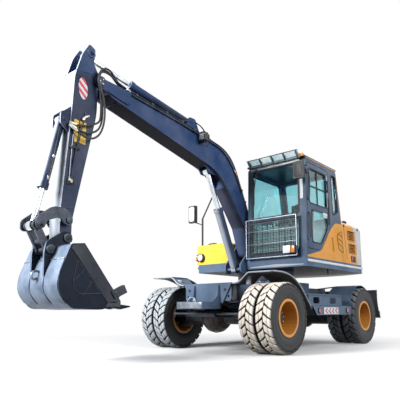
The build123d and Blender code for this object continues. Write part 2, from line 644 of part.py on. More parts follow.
# ---- Chassis --------------------------------------------------------------------------------
def chassis(axle_beams):
    """The frame with its slew bearing, front plate, tow box, and the fenders with their steps."""
    front_x = FRONT_PLATE_X - PLATE_WALL
    frame = block(-RING_BASE_HALF, RING_BASE_HALF, -RING_BASE_HALF, RING_BASE_HALF, FRAME_FLOOR, FRAME_TOP)
    neck = [
        (REAR_PLATE_X, FRAME_FLOOR),
        (front_x, FRAME_FLOOR),
        (front_x, FRONT_PLATE_TOP),
        (RING_BASE_HALF + 160, FRONT_PLATE_TOP, 120),
        (RING_BASE_HALF, FRAME_TOP),
        (-RING_BASE_HALF, FRAME_TOP),
        (-RING_BASE_HALF - 160, FRONT_PLATE_TOP, 120),
        (REAR_PLATE_X, FRONT_PLATE_TOP),
    ]
    frame += side_plate(neck, -FRAME_HALF, FRAME_HALF)
    plate = [
        (-FRONT_PLATE_HALF, FRONT_PLATE_TOP),
        (-FRONT_PLATE_FOOT_HALF, FRONT_PLATE_FOOT),
        (FRONT_PLATE_FOOT_HALF, FRONT_PLATE_FOOT),
        (FRONT_PLATE_HALF, FRONT_PLATE_TOP),
    ]
    frame += front_plate(plate, front_x, FRONT_PLATE_X)
    lug = [
        (TIE_HOLE_Y - 46, FRAME_FLOOR),
        (TIE_HOLE_Y + 46, FRAME_FLOOR, 40),
        (TIE_HOLE_Y + 46, FRONT_PLATE_TOP),
        (TIE_HOLE_Y - 46, FRONT_PLATE_TOP),
    ]
    for sign in (-1, 1):
        ear = front_plate(lug, front_x - PLATE_WALL, front_x)
        ear += block(front_x - PLATE_WALL, front_x, FRAME_HALF, TIE_HOLE_Y, FRAME_FLOOR, FRONT_PLATE_TOP)
        hole_start = (front_x - PLATE_WALL - 1, TIE_HOLE_Y, TIE_HOLE_Z)
        hole = bar(hole_start, (FRONT_PLATE_X + 1, TIE_HOLE_Y, TIE_HOLE_Z), TIE_HOLE_RADIUS)
        if sign < 0:
            ear, hole = mirrored(ear), mirrored(hole)
        frame += ear
        frame -= hole
    rib = [
        (FRONT_PLATE_X, FRONT_PLATE_TOP - 25),
        (FRONT_PLATE_X + 30, FRONT_PLATE_TOP - 25),
        (FRONT_PLATE_X + 45, TOW_BOX["top"] + 70, 90),
        (FRONT_PLATE_X + RIB_REACH, TOW_BOX["top"]),
        (FRONT_PLATE_X, TOW_BOX["top"]),
    ]
    for sign in (-1, 1):
        frame += side_plate(rib, sign * RIB_Y - PLATE_WALL / 2, sign * RIB_Y + PLATE_WALL / 2)
    tow_front = FRONT_PLATE_X + TOW_BOX["reach"]
    box = block(front_x, tow_front, -TOW_BOX["half"], TOW_BOX["half"], TOW_BOX["floor"], TOW_BOX["top"])
    frame += box
    for x, z in (BLADE_LOW_PIN, (BLADE_LOW_PIN[0], BLADE_LOW_PIN[1] + BLADE_LINK_RISE)):
        arm_y = BLADE_ARM_Y if z == BLADE_LOW_PIN[1] else BLADE_UPPER_Y
        for sign in (-1, 1):
            boss = sorted((sign * HANGER_Y, sign * (arm_y - BLADE_BOSS_GAP)))
            frame += cross_bar((x, z), BLADE_BOSS_RADIUS, *boss)
            pin = sorted((sign * HANGER_Y, sign * (arm_y + BLADE_BOSS_GAP)))
            frame += cross_bar((x, z), BLADE_PIN_RADIUS, *pin)
    hanger = [
        (REAR_PLATE_X, FRAME_FLOOR),
        (REAR_PLATE_X + 40, FRAME_FLOOR),
        (BLADE_LOW_PIN[0] + 30, BLADE_LOW_PIN[1] - 40, 25),
        (BLADE_LOW_PIN[0] - 40, BLADE_LOW_PIN[1] - 40, 25),
        (BLADE_LOW_PIN[0] - 40, BLADE_LOW_PIN[1] + 240),
    ]
    for sign in (-1, 1):
        frame += side_plate(hanger, sign * HANGER_Y - HANGER_WALL / 2, sign * HANGER_Y + HANGER_WALL / 2)
    base_x, base_z = BLADE_RAM["base"]
    ram_lug = [
        (REAR_PLATE_X + 10, base_z + 70),
        (base_x - RAM_LUG_ROUND, base_z + RAM_LUG_ROUND, 30),
        (base_x - RAM_LUG_ROUND, base_z - RAM_LUG_ROUND, 30),
        (REAR_PLATE_X + 10, base_z - 90),
    ]
    for sign in (-1, 1):
        frame += side_plate(ram_lug, *sorted((sign * RAM_LUG_Y, sign * (RAM_LUG_Y + RAM_LUG_WALL))))
    ram_sweep = BLADE_RAM["rod"] + EYE_WALL + BLADE_RAM_CLEARANCE
    frame -= cross_bar(BLADE_RAM["base"], ram_sweep, -RAM_LUG_Y, RAM_LUG_Y)
    frame -= block(REAR_PLATE_X - 1, base_x + ram_sweep, -RAM_LUG_Y, RAM_LUG_Y, FRAME_FLOOR - 1, base_z)
    reach = RAM_LUG_Y + RAM_LUG_WALL + 8
    frame += cross_bar(BLADE_RAM["base"], BOOM_RAM_PIN, -reach, reach)
    save("chassis_frame", frame)

    bearing = bar((SLEW_X, 0, FRAME_TOP), (SLEW_X, 0, DECK_FLOOR - SLEW_GAP), SLEW_RADIUS)
    save("slew_bearing", bearing)

    gearbox = side_plate(
        [(-330, 330, 40), (330, 330, 40), (330, FRAME_FLOOR), (-330, FRAME_FLOOR)], -190, 190
    )
    gearbox += bar((-330, 0, AXLE_Z), (REAR_AXLE_X + DIFF_RADIUS - 20, 0, AXLE_Z), 38)
    gearbox += bar((330, 0, AXLE_Z), (FRONT_AXLE_X - DIFF_RADIUS + 20, DIFF_Y, AXLE_Z), 38)
    for axle in axle_beams:
        gearbox -= axle
    save("gearbox_and_shafts", gearbox)
    return frame


def bent_sheet(path, y0, y1):
    """A bent sheet between two Y planes, along the middle line given in (x, z)."""
    plane = Plane(origin=(0, y1, 0), x_dir=(1, 0, 0), z_dir=(0, -1, 0))
    return extrude(plane * trace(path, FENDER_WALL), amount=y1 - y0)


def fender_arches():
    """The bent sheets over the left wheels, and the bracket that carries the front one."""
    line_top = FRONT_ARCH_TOP - FENDER_WALL / 2
    front_end = FRONT_PLATE_X - 3.0
    front = FilletPolyline(
        (front_end, line_top),
        FRONT_ARCH_BEND,
        (STEP_FRONT - 30, STEP_FOOT),
        radius=FRONT_ARCH_RADIUS,
    )
    centre = Vector(REAR_AXLE_X, AXLE_Z)
    low, middle, high = [
        centre + Vector(REAR_ARCH_RADIUS * cos(radians(a)), REAR_ARCH_RADIUS * sin(radians(a)))
        for a in REAR_ARCH_ANGLES
    ]
    arches = bent_sheet(front, FENDER_INNER, FENDER_OUTER)
    arches += bent_sheet(ThreePointArc(low, middle, high), FENDER_INNER, FENDER_OUTER)
    foot = FRONT_PLATE_TOP - 9
    bracket = [
        (FENDER_INNER + 20, FRONT_ARCH_TOP),
        (FENDER_INNER - 116, foot),
        (FRAME_HALF, foot),
        (FRAME_HALF, foot - FENDER_WALL),
        (FENDER_INNER - 112, foot - FENDER_WALL),
        (FENDER_INNER + 28, FRONT_ARCH_TOP - FENDER_WALL),
    ]
    arches += front_plate(bracket, front_end - 330, front_end)
    rear_bracket = [
        (FENDER_INNER + 4, AXLE_Z + REAR_ARCH_RADIUS),
        (FRAME_HALF, FRONT_PLATE_TOP),
        (FRAME_HALF, FRONT_PLATE_TOP - 10),
        (FENDER_INNER + 4, AXLE_Z + REAR_ARCH_RADIUS - FENDER_WALL),
    ]
    arches += front_plate(rear_bracket, REAR_AXLE_X - 60, REAR_AXLE_X + 60)
    return arches


def hexagon(x, z, half, drop):
    """The (x, z) corners of a long six-sided opening."""
    return [
        (x - half, z),
        (x - half + 18, z + drop),
        (x + half - 18, z + drop),
        (x + half, z),
        (x + half - 18, z - drop),
        (x - half + 18, z - drop),
    ]


def side_step():
    """The left step: an upper tread on a panel with two openings, and a lower tread further out."""
    wall = STEP_WALL
    floor, top = STEP_FOOT, STEP_TOP
    steps = block(-UPPER_STEP_HALF, UPPER_STEP_HALF, FENDER_INNER, UPPER_STEP_OUT, top - wall, top)
    face_y = UPPER_STEP_OUT - wall
    steps += block(-UPPER_STEP_HALF, UPPER_STEP_HALF, face_y, UPPER_STEP_OUT, LOWER_STEP_TOP, top)
    for x in (-UPPER_STEP_HALF * 0.42, UPPER_STEP_HALF * 0.58):
        opening = hexagon(x, (LOWER_STEP_TOP + top) / 2, 95, 42)
        steps -= side_plate(opening, face_y - 1, UPPER_STEP_OUT + 1)
    nose = STEP_FRONT + STEP_NOSE
    tail = STEP_REAR - STEP_TAIL
    steps += block(tail, nose, LOWER_STEP_IN, LOWER_STEP_OUT, LOWER_STEP_TOP - wall, LOWER_STEP_TOP)
    face = [(STEP_REAR, floor), (STEP_FRONT - 30, floor), (nose, LOWER_STEP_TOP), (tail, LOWER_STEP_TOP)]
    steps += side_plate(face, LOWER_STEP_OUT - wall, LOWER_STEP_OUT)
    steps += block(-UPPER_STEP_HALF, UPPER_STEP_HALF, FENDER_INNER, FENDER_INNER + wall, LOWER_STEP_TOP, top)
    steps += block(tail, nose, FENDER_INNER, LOWER_STEP_IN + wall, LOWER_STEP_TOP - wall, LOWER_STEP_TOP)
    for x in (-UPPER_STEP_HALF + 60, UPPER_STEP_HALF - 60):
        steps += block(x - 30, x + 30, RING_BASE_HALF, FENDER_INNER, FRAME_FLOOR, FRAME_FLOOR + 70)
    return steps


def fenders(frame):
    """Each side's fenders and steps in one piece, with the round lamps of the lower step."""
    unit = fender_arches() + side_step() - frame
    lamps = []
    for x in (STEP_FRONT - 90, STEP_REAR + 150):
        for sign in (-1, 1):
            face = sign * LOWER_STEP_OUT
            ends = sorted((face, face + sign * STEP_LAMP_DEPTH))
            lamps.append(cross_bar((x, (STEP_FOOT + LOWER_STEP_TOP) / 2), STEP_LAMP_RADIUS, *ends))
    save("fender_and_step_left", unit)
    save("fender_and_step_right", mirrored(unit))
    save("step_lamps", *lamps)


# ---- Dozer blade ----------------------------------------------------------------------------
def blade():
    """The mouldboard, its two pairs of links and its cylinder."""
    top_x, top_z = BLADE_TOP
    edge_x, edge_z = BLADE_EDGE
    middle = ((top_x + edge_x) / 2 + BLADE_HOLLOW, (top_z + edge_z) / 2)
    inner = (middle[0] + BLADE_WALL, middle[1])
    face = Plane(origin=(0, BLADE_HALF, 0), x_dir=(1, 0, 0), z_dir=(0, -1, 0)) * make_face(
        [
            ThreePointArc(BLADE_TOP, middle, BLADE_EDGE),
            Line(BLADE_EDGE, (edge_x + BLADE_WALL, edge_z)),
            ThreePointArc((edge_x + BLADE_WALL, edge_z), inner, (top_x + BLADE_WALL, top_z)),
            Line((top_x + BLADE_WALL, top_z), BLADE_TOP),
        ]
    )
    board = extrude(face, amount=2 * BLADE_HALF)
    turn = radians(BLADE_LINK_LIFT)
    low_x = BLADE_LOW_PIN[0] - BLADE_LINK * cos(turn)
    low_z = BLADE_LOW_PIN[1] + BLADE_LINK * sin(turn)
    for arm_y, pin_z in ((BLADE_ARM_Y, low_z), (BLADE_UPPER_Y, low_z + BLADE_LINK_RISE)):
        ear = [
            (low_x + 36, pin_z - 40, 30),
            (low_x + 36, pin_z + 40, 30),
            (edge_x, pin_z + 90),
            (edge_x, pin_z - 90),
        ]
        for sign in (-1, 1):
            for offset in (-34, 34):
                y = sign * arm_y + offset
                board += side_plate(ear, y - 8, y + 8)
            board += cross_bar((low_x, pin_z), BLADE_PIN_RADIUS, sign * arm_y - 42, sign * arm_y + 42)
    behind = side_arc_region(BLADE_TOP, middle, BLADE_EDGE, low_x + 100)
    save("dozer_blade", board & behind)
    barrel, rod = ram(BLADE_RAM, 0)
    save("blade_cylinder_barrel", barrel)
    save("blade_cylinder_rod", rod)

    low_links = []
    for sign in (-1, 1):
        y = sign * BLADE_ARM_Y
        bore = BLADE_PIN_RADIUS + PIN_PLAY
        low_links.append(link_bar(BLADE_LOW_PIN, (low_x, low_z), 36, y - 22, y + 22, bore))
    tie_place = between(BLADE_LOW_PIN, (low_x, low_z), BLADE_TIE_PLACE)
    lower = low_links[0] + low_links[1]
    lower += cross_bar(tie_place, BLADE_TIE_RADIUS, -BLADE_ARM_Y, BLADE_ARM_Y)
    eye_x, eye_z = BLADE_RAM["eye"]
    ram_lug = [
        (tie_place[0] - 20, tie_place[1] - 10),
        (tie_place[0] + 6, tie_place[1] + 22),
        (eye_x + 34, eye_z + 28, 30),
        (eye_x + 34, eye_z - 34, 30),
        (eye_x - 34, eye_z - 34, 30),
    ]
    for sign in (-1, 1):
        lower += side_plate(ram_lug, *sorted((sign * RAM_LUG_Y, sign * (RAM_LUG_Y + RAM_LUG_WALL))))
        stub = sorted((sign * (EYE_HALF + PIN_STUB + 4), sign * (RAM_LUG_Y + 26)))
        lower += cross_bar(BLADE_RAM["eye"], BOOM_RAM_PIN, *stub)
    save("blade_lower_links", lower)
    up_pin = (BLADE_LOW_PIN[0], BLADE_LOW_PIN[1] + BLADE_LINK_RISE)
    up_end = (low_x, low_z + BLADE_LINK_RISE)
    uppers = []
    for sign in (-1, 1):
        y = sign * BLADE_UPPER_Y
        uppers.append(link_bar(up_pin, up_end, 32, y - 22, y + 22, BLADE_PIN_RADIUS + PIN_PLAY))
    save("blade_upper_links", *uppers)


def side_arc_region(top, middle, edge, front_x):
    """All that lies between the mouldboard's working face and a plane in front of it."""
    plane = Plane(origin=(0, BLADE_HALF, 0), x_dir=(1, 0, 0), z_dir=(0, -1, 0))
    face = make_face(
        [
            ThreePointArc(top, middle, edge),
            Line(edge, (front_x, edge[1])),
            Line((front_x, edge[1]), (front_x, top[1])),
            Line((front_x, top[1]), top),
        ]
    )
    return extrude(plane * face, amount=2 * BLADE_HALF)


def link_bar(start, stop, radius, y0, y1, bore, bored=None):
    """A flat link with a round eye at each end, bored at both ends or at the pins given."""
    run = Vector(stop[0] - start[0], stop[1] - start[1])
    side = Vector(-run.Y, run.X).normalized() * radius * 0.8
    corners = [
        (start[0] + side.X, start[1] + side.Y),
        (stop[0] + side.X, stop[1] + side.Y),
        (stop[0] - side.X, stop[1] - side.Y),
        (start[0] - side.X, start[1] - side.Y),
    ]
    link = side_plate(corners, y0, y1)
    for pin in (start, stop):
        link += cross_bar(pin, radius, y0, y1)
    for pin in bored or (start, stop):
        link -= cross_bar(pin, bore, y0 - 1, y1 + 1)
    return link


# ---- House ----------------------------------------------------------------------------------
def house():
    """The deck, the boom's bracket, the counterweight, the hood over the engine and the tank."""
    deck = level_plate(
        [
            (HOUSE_FRONT, -HOUSE_HALF, 60),
            (HOUSE_FRONT, HOUSE_HALF, 30),
            (TAIL_FRONT, HOUSE_HALF),
            (TAIL_FRONT, -HOUSE_HALF),
        ],
        DECK_FLOOR,
        DECK_TOP,
    )
    save("deck", deck)

    foot_x, foot_z = BOOM_FOOT
    base_x, base_z = BOOM_RAM["base"]
    cheek = [
        (foot_x - 330, DECK_TOP),
        (foot_x - 130, foot_z + 120, 110),
        (foot_x + 130, foot_z + 110, 110),
        (base_x - 60, base_z + 190, 120),
        (base_x + 70, base_z + 60, 60),
        (base_x + 60, base_z - 70, 60),
        (HOUSE_FRONT, base_z - 60, 40),
        (HOUSE_FRONT, DECK_TOP),
    ]
    cheeks = []
    inner = BOOM_HALF + SIDE_GAP
    for sign in (-1, 1):
        ends = sorted((BOOM_Y + sign * inner, BOOM_Y + sign * (inner + BRACKET_WALL)))
        cheeks.append(side_plate(cheek, *ends))
    reach = inner + BRACKET_WALL
    bracket = cheeks[0] + cheeks[1]
    bracket += cross_bar(BOOM_FOOT, BOOM_PIN_RADIUS, BOOM_Y - reach - 8, BOOM_Y + reach + 8)
    bracket += cross_bar(BOOM_RAM["base"], BOOM_RAM_PIN, BOOM_Y - reach - 8, BOOM_Y + reach + 8)
    sides = (BOOM_Y - reach, BOOM_Y + reach)
    bracket += block(HOUSE_FRONT, HOUSE_FRONT + 8, *sides, DECK_FLOOR - 30, DECK_TOP - 40)
    save("boom_bracket", bracket)

    tail = block(-TAIL_RADIUS, TAIL_FRONT, -HOUSE_HALF, HOUSE_HALF, DECK_FLOOR, TAIL_TOP)
    tail &= bar((SLEW_X, 0, DECK_FLOOR), (SLEW_X, 0, TAIL_TOP), TAIL_RADIUS)
    corners = tail.edges().filter_by(Axis.Z).filter_by(lambda e: e.center().X < TAIL_FRONT - 20)
    tail = fillet(corners, TAIL_CORNER)
    save("counterweight", tail)

    hood = hood_shell()
    save("engine_hood", hood)
    engine = block(*ENGINE_BOX)
    save("engine", engine)

    tank = block(TANK_REAR, HOUSE_FRONT, -HOUSE_HALF, TANK_LEFT, DECK_TOP, TANK_TOP)
    upper = tank.edges().filter_by(lambda e: e.center().Z > TANK_TOP - 1)
    tank = fillet(upper, TANK_ROUND)
    save("tank_box", tank)


def hood_shell():
    """The engine hood: four walls and a roof, with louvred openings in both sides."""
    half = HOUSE_HALF
    rear, front = TAIL_FRONT, HOOD_FRONT
    shell = front_plate(
        [(-half, DECK_TOP), (half, DECK_TOP), (half, HOOD_TOP, HOOD_ROUND), (-half, HOOD_TOP, HOOD_ROUND)],
        rear,
        front,
    )
    wall = HOOD_WALL
    hollow = front_plate(
        [
            (-half + wall, DECK_TOP - 1),
            (half - wall, DECK_TOP - 1),
            (half - wall, HOOD_TOP - wall, HOOD_ROUND - wall),
            (-half + wall, HOOD_TOP - wall, HOOD_ROUND - wall),
        ],
        rear + wall,
        front - wall,
    )
    shell -= hollow
    slats = []
    for offset, half_length, z0, z1 in GRILLES:
        middle = (TAIL_FRONT + HOOD_FRONT) / 2 + offset
        x0, x1 = middle - half_length, middle + half_length
        pitch = (z1 - z0) / SLATS_PER_GRILLE
        for sign in (-1, 1):
            outer = sign * half
            ends = sorted((outer + sign, outer - sign * (wall + 1)))
            shell -= block(x0, x1, *ends, z0, z1)
            slat_ends = sorted((outer - sign * 4, outer - sign * (wall - 4)))
            for n in range(1, SLATS_PER_GRILLE):
                z = z0 + n * pitch
                slats.append(block(x0, x1, *slat_ends, z - SLAT_WALL / 2, z + SLAT_WALL / 2))
    return shell + slats


# ---- Cab ------------------------------------------------------------------------------------
def cab_profile(inset):
    """The cab's side outline, drawn in by a wall."""
    return [
        (HOUSE_FRONT - inset, DECK_TOP + inset),
        (CAB_FRONT_TOP - inset, CAB_ROOF - inset, CAB_ROUND),
        (CAB_REAR_TOP + inset, CAB_ROOF - inset, CAB_ROUND),
        (CAB_REAR_FOOT + inset, HOOD_TOP - 65),
        (CAB_REAR_FOOT + inset, DECK_TOP + inset),
    ]


def inset_outline(corners, inset):
    """An outline's corners moved in towards its middle by an inset, for a frame of about even width."""
    middle_x = sum(c[0] for c in corners) / len(corners)
    middle_z = sum(c[1] for c in corners) / len(corners)
    moved = []
    for x, z, *rest in corners:
        inward_x = -inset if x > middle_x else inset
        inward_z = -inset if z > middle_z else inset
        moved.append((x + inward_x, z + inward_z, *rest))
    return moved


def cab():
    """The cab's frame with its windows and door opening, its glass, lower panel, roof and door."""
    left, right = HOUSE_HALF, CAB_RIGHT
    frame = side_plate(cab_profile(0), right, left)
    frame -= side_plate(cab_profile(CAB_WALL), right + CAB_WALL, left - CAB_WALL)
    skin = side_plate(cab_profile(PANE_INSET), right + PANE_INSET, left - PANE_INSET)
    skin -= side_plate(cab_profile(PANE_INSET + PANE), right + PANE_INSET + PANE, left - PANE_INSET - PANE)
    panes = []
    for x0, x1, low, high in FRONT_AND_REAR_WINDOWS:
        cutter = front_plate(
            [
                (WINDOW_RIGHT, low, 40),
                (WINDOW_LEFT, low, 40),
                (WINDOW_LEFT, high, 40),
                (WINDOW_RIGHT, high, 40),
            ],
            x0,
            x1,
        )
        frame -= cutter
        panes.append(cutter & skin)
    rear_side = REAR_SIDE_WINDOW
    frame -= side_plate(rear_side, left - CAB_WALL - 1, left + 1)
    panes.append(side_plate(rear_side, left - PANE_INSET - PANE, left - PANE_INSET))
    frame -= side_plate(RIGHT_WINDOW, right - 1, right + CAB_WALL + 1)
    panes.append(side_plate(RIGHT_WINDOW, right + PANE_INSET, right + PANE_INSET + PANE))
    opening = side_plate(DOOR_OUTLINE, left - CAB_WALL - 1, left + 1)
    frame -= opening
    panel = side_plate(LOWER_PANEL, left - CAB_WALL, left)
    frame -= side_plate(LOWER_PANEL, left - CAB_WALL, left + 1)
    save("cab_frame", frame)
    save("cab_lower_panel", panel - opening)
    save("cab_glass", *panes)

    roof = block(
        CAB_REAR_TOP - ROOF_OVERHANG,
        CAB_FRONT_TOP + ROOF_OVERHANG,
        right,
        left,
        CAB_ROOF,
        CAB_ROOF + ROOF_WALL,
    )
    roof = chamfer(roof.edges().filter_by(lambda e: e.center().Z > CAB_ROOF + ROOF_WALL - 1), ROOF_CHAMFER)
    save("cab_roof", roof)

    door_outline = inset_outline(DOOR_OUTLINE, DOOR_GAP)
    door_y = left - DOOR_WALL
    door = side_plate(door_outline, door_y, left)
    for window in (DOOR_UPPER_WINDOW, DOOR_LOWER_WINDOW):
        door -= side_plate(window, door_y - 1, left + 1)
    x, z = DOOR_UPPER_WINDOW[1][:2]
    handle = block(x - 29, x + 6, left, left + 34, z + 260, z + 430)
    handle -= block(x - 30, x + 7, left - 1, left + 20, z + 285, z + 405)
    door += handle
    hinge_x = DOOR_HINGE[0]
    for z in DOOR_HINGE_LEVELS:
        door += bar((hinge_x, DOOR_HINGE[1], z - 30), (hinge_x, DOOR_HINGE[1], z + 30), HINGE_RADIUS)
        door += block(hinge_x - 60, hinge_x, left + 2, left + 13, z - 24, z + 24)
        door += block(hinge_x - 60, hinge_x - 24, left - 8, left + 2, z - 24, z + 24)
    save("cab_door", door)
    door_panes = []
    for window in (DOOR_UPPER_WINDOW, DOOR_LOWER_WINDOW):
        door_panes.append(side_plate(window, left - PANE_INSET - PANE, left - PANE_INSET))
    save("cab_door_glass", *door_panes)


def cab_inside():
    """The seat and the steering column on the cab's floor."""
    floor = DECK_TOP + CAB_WALL
    middle = (CAB_RIGHT + HOUSE_HALF) / 2
    seat = block(-250, 60, middle - 160, middle + 160, floor, floor + 230)
    seat += block(-290, 190, middle - 245, middle + 245, floor + 230, floor + 350)
    back = [
        (-290, floor + 250),
        (-170, floor + 250),
        (-230, floor + SEAT_BACK_TOP, 40),
        (-340, floor + SEAT_BACK_TOP, 40),
    ]
    seat += side_plate(back, middle - SEAT_BACK_HALF, middle + SEAT_BACK_HALF)
    save("seat", seat)

    column = [
        (290, floor),
        (380, floor),
        (256, floor + 570),
        (190, floor + 570),
    ]
    steering = side_plate(column, middle - 70, middle + 70)
    wheel = flat_ring([(142, -11), (166, -11), (166, 11), (142, 11)], 16)
    wheel += bar((0, -60, 0), (0, 14, 0), 40)
    for turn in (0, 120, 240):
        wheel += Rot(0, turn, 0) * block(-12, 12, -8, 8, 20, 150)
    steering += Pos(232, middle, floor + 600) * (Rot(0, 20, 0) * (Rot(90, 0, 0) * wheel))
    save("steering_column", steering)


def cab_outside():
    """The window guard, the visor, the mirrors and the lamps."""
    guard_x = HOUSE_FRONT + GUARD_STAND
    y0, y1, z0, z1 = GUARD_BOX
    rail = GUARD_RAIL
    guard = block(guard_x, guard_x + rail, y0, y1, z0, z1)
    guard -= block(guard_x - 1, guard_x + rail + 1, y0 + rail, y1 - rail, z0 + rail, z1 - rail)
    wires = []
    for n in range(1, GUARD_UPRIGHTS + 1):
        y = y0 + n * (y1 - y0) / (GUARD_UPRIGHTS + 1)
        wires.append(block(guard_x + 4, guard_x + 10, y - 3, y + 3, z0 + rail, z1 - rail))
    for n in range(1, GUARD_CROSSES + 1):
        z = z0 + n * (z1 - z0) / (GUARD_CROSSES + 1)
        wires.append(block(guard_x + 10, guard_x + 15, y0 + rail, y1 - rail, z - 3, z + 3))
    for y in (y0 + 40, y1 - 40):
        for z in (z0 + 12, z1 - 12):
            wires.append(bar((HOUSE_FRONT - 40, y, z), (guard_x + 4, y, z), 9))
    guard += wires
    guard -= side_plate(cab_profile(0), CAB_RIGHT, HOUSE_HALF)
    save("window_guard", guard)

    low, high = VISOR_LOW, VISOR_HIGH
    visor = side_plate(
        [low, high, (high[0] + VISOR_WALL, high[1]), (low[0] + VISOR_WALL, low[1])], VISOR_RIGHT, VISOR_LEFT
    )
    save("visor", visor)
    roof_front = CAB_FRONT_TOP + ROOF_OVERHANG
    foot_x = low[0] + (high[0] - low[0]) * (CAB_ROOF + 4 - low[1]) / (high[1] - low[1])
    gusset = [
        (roof_front, CAB_ROOF + 4),
        (foot_x, CAB_ROOF + 4),
        high,
        (high[0] - 14, high[1]),
        (roof_front, CAB_ROOF + 18),
    ]
    stays = []
    for n in range(VISOR_STAYS):
        y = VISOR_RIGHT + 30 + n * (VISOR_LEFT - VISOR_RIGHT - 60) / (VISOR_STAYS - 1)
        stays.append(side_plate(gusset, y - 3, y + 3))
    save("visor_stays", *stays)

    stem_x, stem_z = MIRROR_STEM
    left_arm = bar((stem_x, HOUSE_HALF, stem_z), (stem_x, HOUSE_HALF + 28, stem_z), 10)
    left_reach = (LEFT_MIRROR[0] + 5, HOUSE_HALF + 8, stem_z - 20)
    left_arm += bar((stem_x, HOUSE_HALF + 18, stem_z), left_reach, 7)
    pole_x, pole_y = MIRROR_POLE
    right_arm = bar((pole_x, pole_y, TANK_TOP), (pole_x, pole_y, POLE_BEND + 10), 15)
    right_arm += bar((pole_x, pole_y, POLE_BEND), HANDRAIL_END, 12)
    right_reach = (RIGHT_MIRROR[0] + 30, RIGHT_MIRROR[3] - 70, RIGHT_MIRROR[4] + 20)
    right_arm += bar((pole_x, pole_y, POLE_BEND - 100), right_reach, 8)
    save("mirrors", block(*LEFT_MIRROR) + left_arm, block(*RIGHT_MIRROR) + right_arm)

    guard_front = guard_x + rail
    lamp_y, lamp_z = RIGHT_LAMP
    lamps = [
        block(guard_front, guard_front + LAMP_DEPTH, *LEFT_LAMP, *LAMP_LEVELS),
        block(guard_front, guard_front + LAMP_DEPTH - 7, *LEFT_INDICATOR, *LAMP_LEVELS),
        bar((HOUSE_FRONT, lamp_y, lamp_z), (HOUSE_FRONT + LAMP_DEPTH - 9, lamp_y, lamp_z), RIGHT_LAMP_RADIUS),
        block(HOUSE_FRONT, HOUSE_FRONT + LAMP_DEPTH - 15, *RIGHT_INDICATOR, lamp_z - 50, lamp_z + 50),
    ]
    save("front_lamps", *lamps)


# ---- Digging arm ----------------------------------------------------------------------------
def in_boom_plane(corners, half):
    """A plate whose middle lies in the boom's plane."""
    return side_plate(corners, BOOM_Y - half, BOOM_Y + half)


def boom():
    """The cranked boom: a box with a bored foot, two cheeks at its tip and the cylinders' brackets."""
    foot_x, foot_z = BOOM_FOOT
    tip_x, tip_z = BOOM_TIP
    body = [
        (foot_x - 105, foot_z + 20),
        (foot_x - 60, foot_z - 100, 90),
        (foot_x + 110, foot_z - 70, 90),
        (472, 1752),
        (1031, 2470, 900),
        (3000, 2914, 300),
        (tip_x - 20, tip_z - 62),
        (tip_x - 20, tip_z + 52),
        (2880, 3088, 500),
        (1750, 2972, 3000),
        (800, 2825, 590),
    ]
    beam = in_boom_plane(body, BOOM_HALF)
    cheek = [
        (tip_x - 420, tip_z - 125),
        (tip_x - 60, tip_z - 85),
        (tip_x + 78, tip_z - 60, 58),
        (tip_x + 78, tip_z + 60, 58),
        (tip_x - 60, tip_z + 48),
        (tip_x - 420, tip_z + 12),
    ]
    inner = ARM_HALF + SIDE_GAP
    sweep = cross_bar(BOOM_TIP, TIP_SWEEP, BOOM_Y - inner, BOOM_Y + inner)
    beam -= sweep
    outer = inner + FORK_CHEEK
    for sign in (-1, 1):
        ends = sorted((BOOM_Y + sign * inner, BOOM_Y + sign * outer))
        beam += side_plate(cheek, *ends)
    for sign in (-1, 1):
        ends = sorted((BOOM_Y + sign * inner, BOOM_Y + sign * (outer + 10)))
        beam += cross_bar(BOOM_TIP, 62, *ends)
    beam += cross_bar(BOOM_TIP, ARM_PIN_RADIUS, BOOM_Y - outer - 4, BOOM_Y + outer + 4)
    beam -= cross_bar(BOOM_FOOT, BOOM_PIN_RADIUS + PIN_PLAY, BOOM_Y - BOOM_HALF - 1, BOOM_Y + BOOM_HALF + 1)

    eye_x, eye_z = BOOM_RAM["eye"]
    hanger = [
        (eye_x - 190, eye_z - 25),
        (eye_x - 50, eye_z - 50, 30),
        (eye_x + 50, eye_z - 50, 30),
        (eye_x + 175, eye_z + 110),
        (eye_x - 130, eye_z + 110),
    ]
    base_x, base_z = ARM_RAM["base"]
    perch = [
        (base_x - 190, base_z - 200),
        (base_x - 60, base_z + 52, 40),
        (base_x + 60, base_z + 52, 40),
        (base_x + 150, base_z - 150),
    ]
    slot = [
        (eye_x + EYE_SWEEP_FRONT, eye_z - 80),
        (eye_x + EYE_SWEEP_FRONT, eye_z + EYE_SWEEP_TOP, 60),
        (eye_x - EYE_SWEEP_REAR, eye_z + EYE_SWEEP_TOP, 60),
        (eye_x - EYE_SWEEP_REAR, eye_z - 160),
    ]
    beam -= in_boom_plane(slot, LUG_INNER)
    for lug in (hanger, perch):
        for sign in (-1, 1):
            ends = sorted((BOOM_Y + sign * LUG_INNER, BOOM_Y + sign * (LUG_INNER + LUG_WALL)))
            beam += side_plate(lug, *ends)
    for sign in (-1, 1):
        ends = sorted((BOOM_Y + sign * (EYE_HALF + PIN_STUB + 4), BOOM_Y + sign * (LUG_INNER + LUG_WALL + 8)))
        beam += cross_bar(BOOM_RAM["eye"], BOOM_RAM_PIN, *ends)
    ends = (BOOM_Y - LUG_INNER - LUG_WALL - 8, BOOM_Y + LUG_INNER + LUG_WALL + 8)
    beam += cross_bar(ARM_RAM["base"], BOOM_RAM_PIN, *ends)
    recess = [
        (eye_x - 302, eye_z - 246),
        (eye_x - 292, eye_z - 6, 60),
        (eye_x - 127, eye_z - 6),
        (eye_x - 127, eye_z - 156),
    ]
    beam -= in_boom_plane(recess, RECESS_HALF)
    save("boom", beam)
    barrel, rod = ram(BOOM_RAM, BOOM_Y)
    save("boom_cylinder_barrel", barrel)
    save("boom_cylinder_rod", rod)


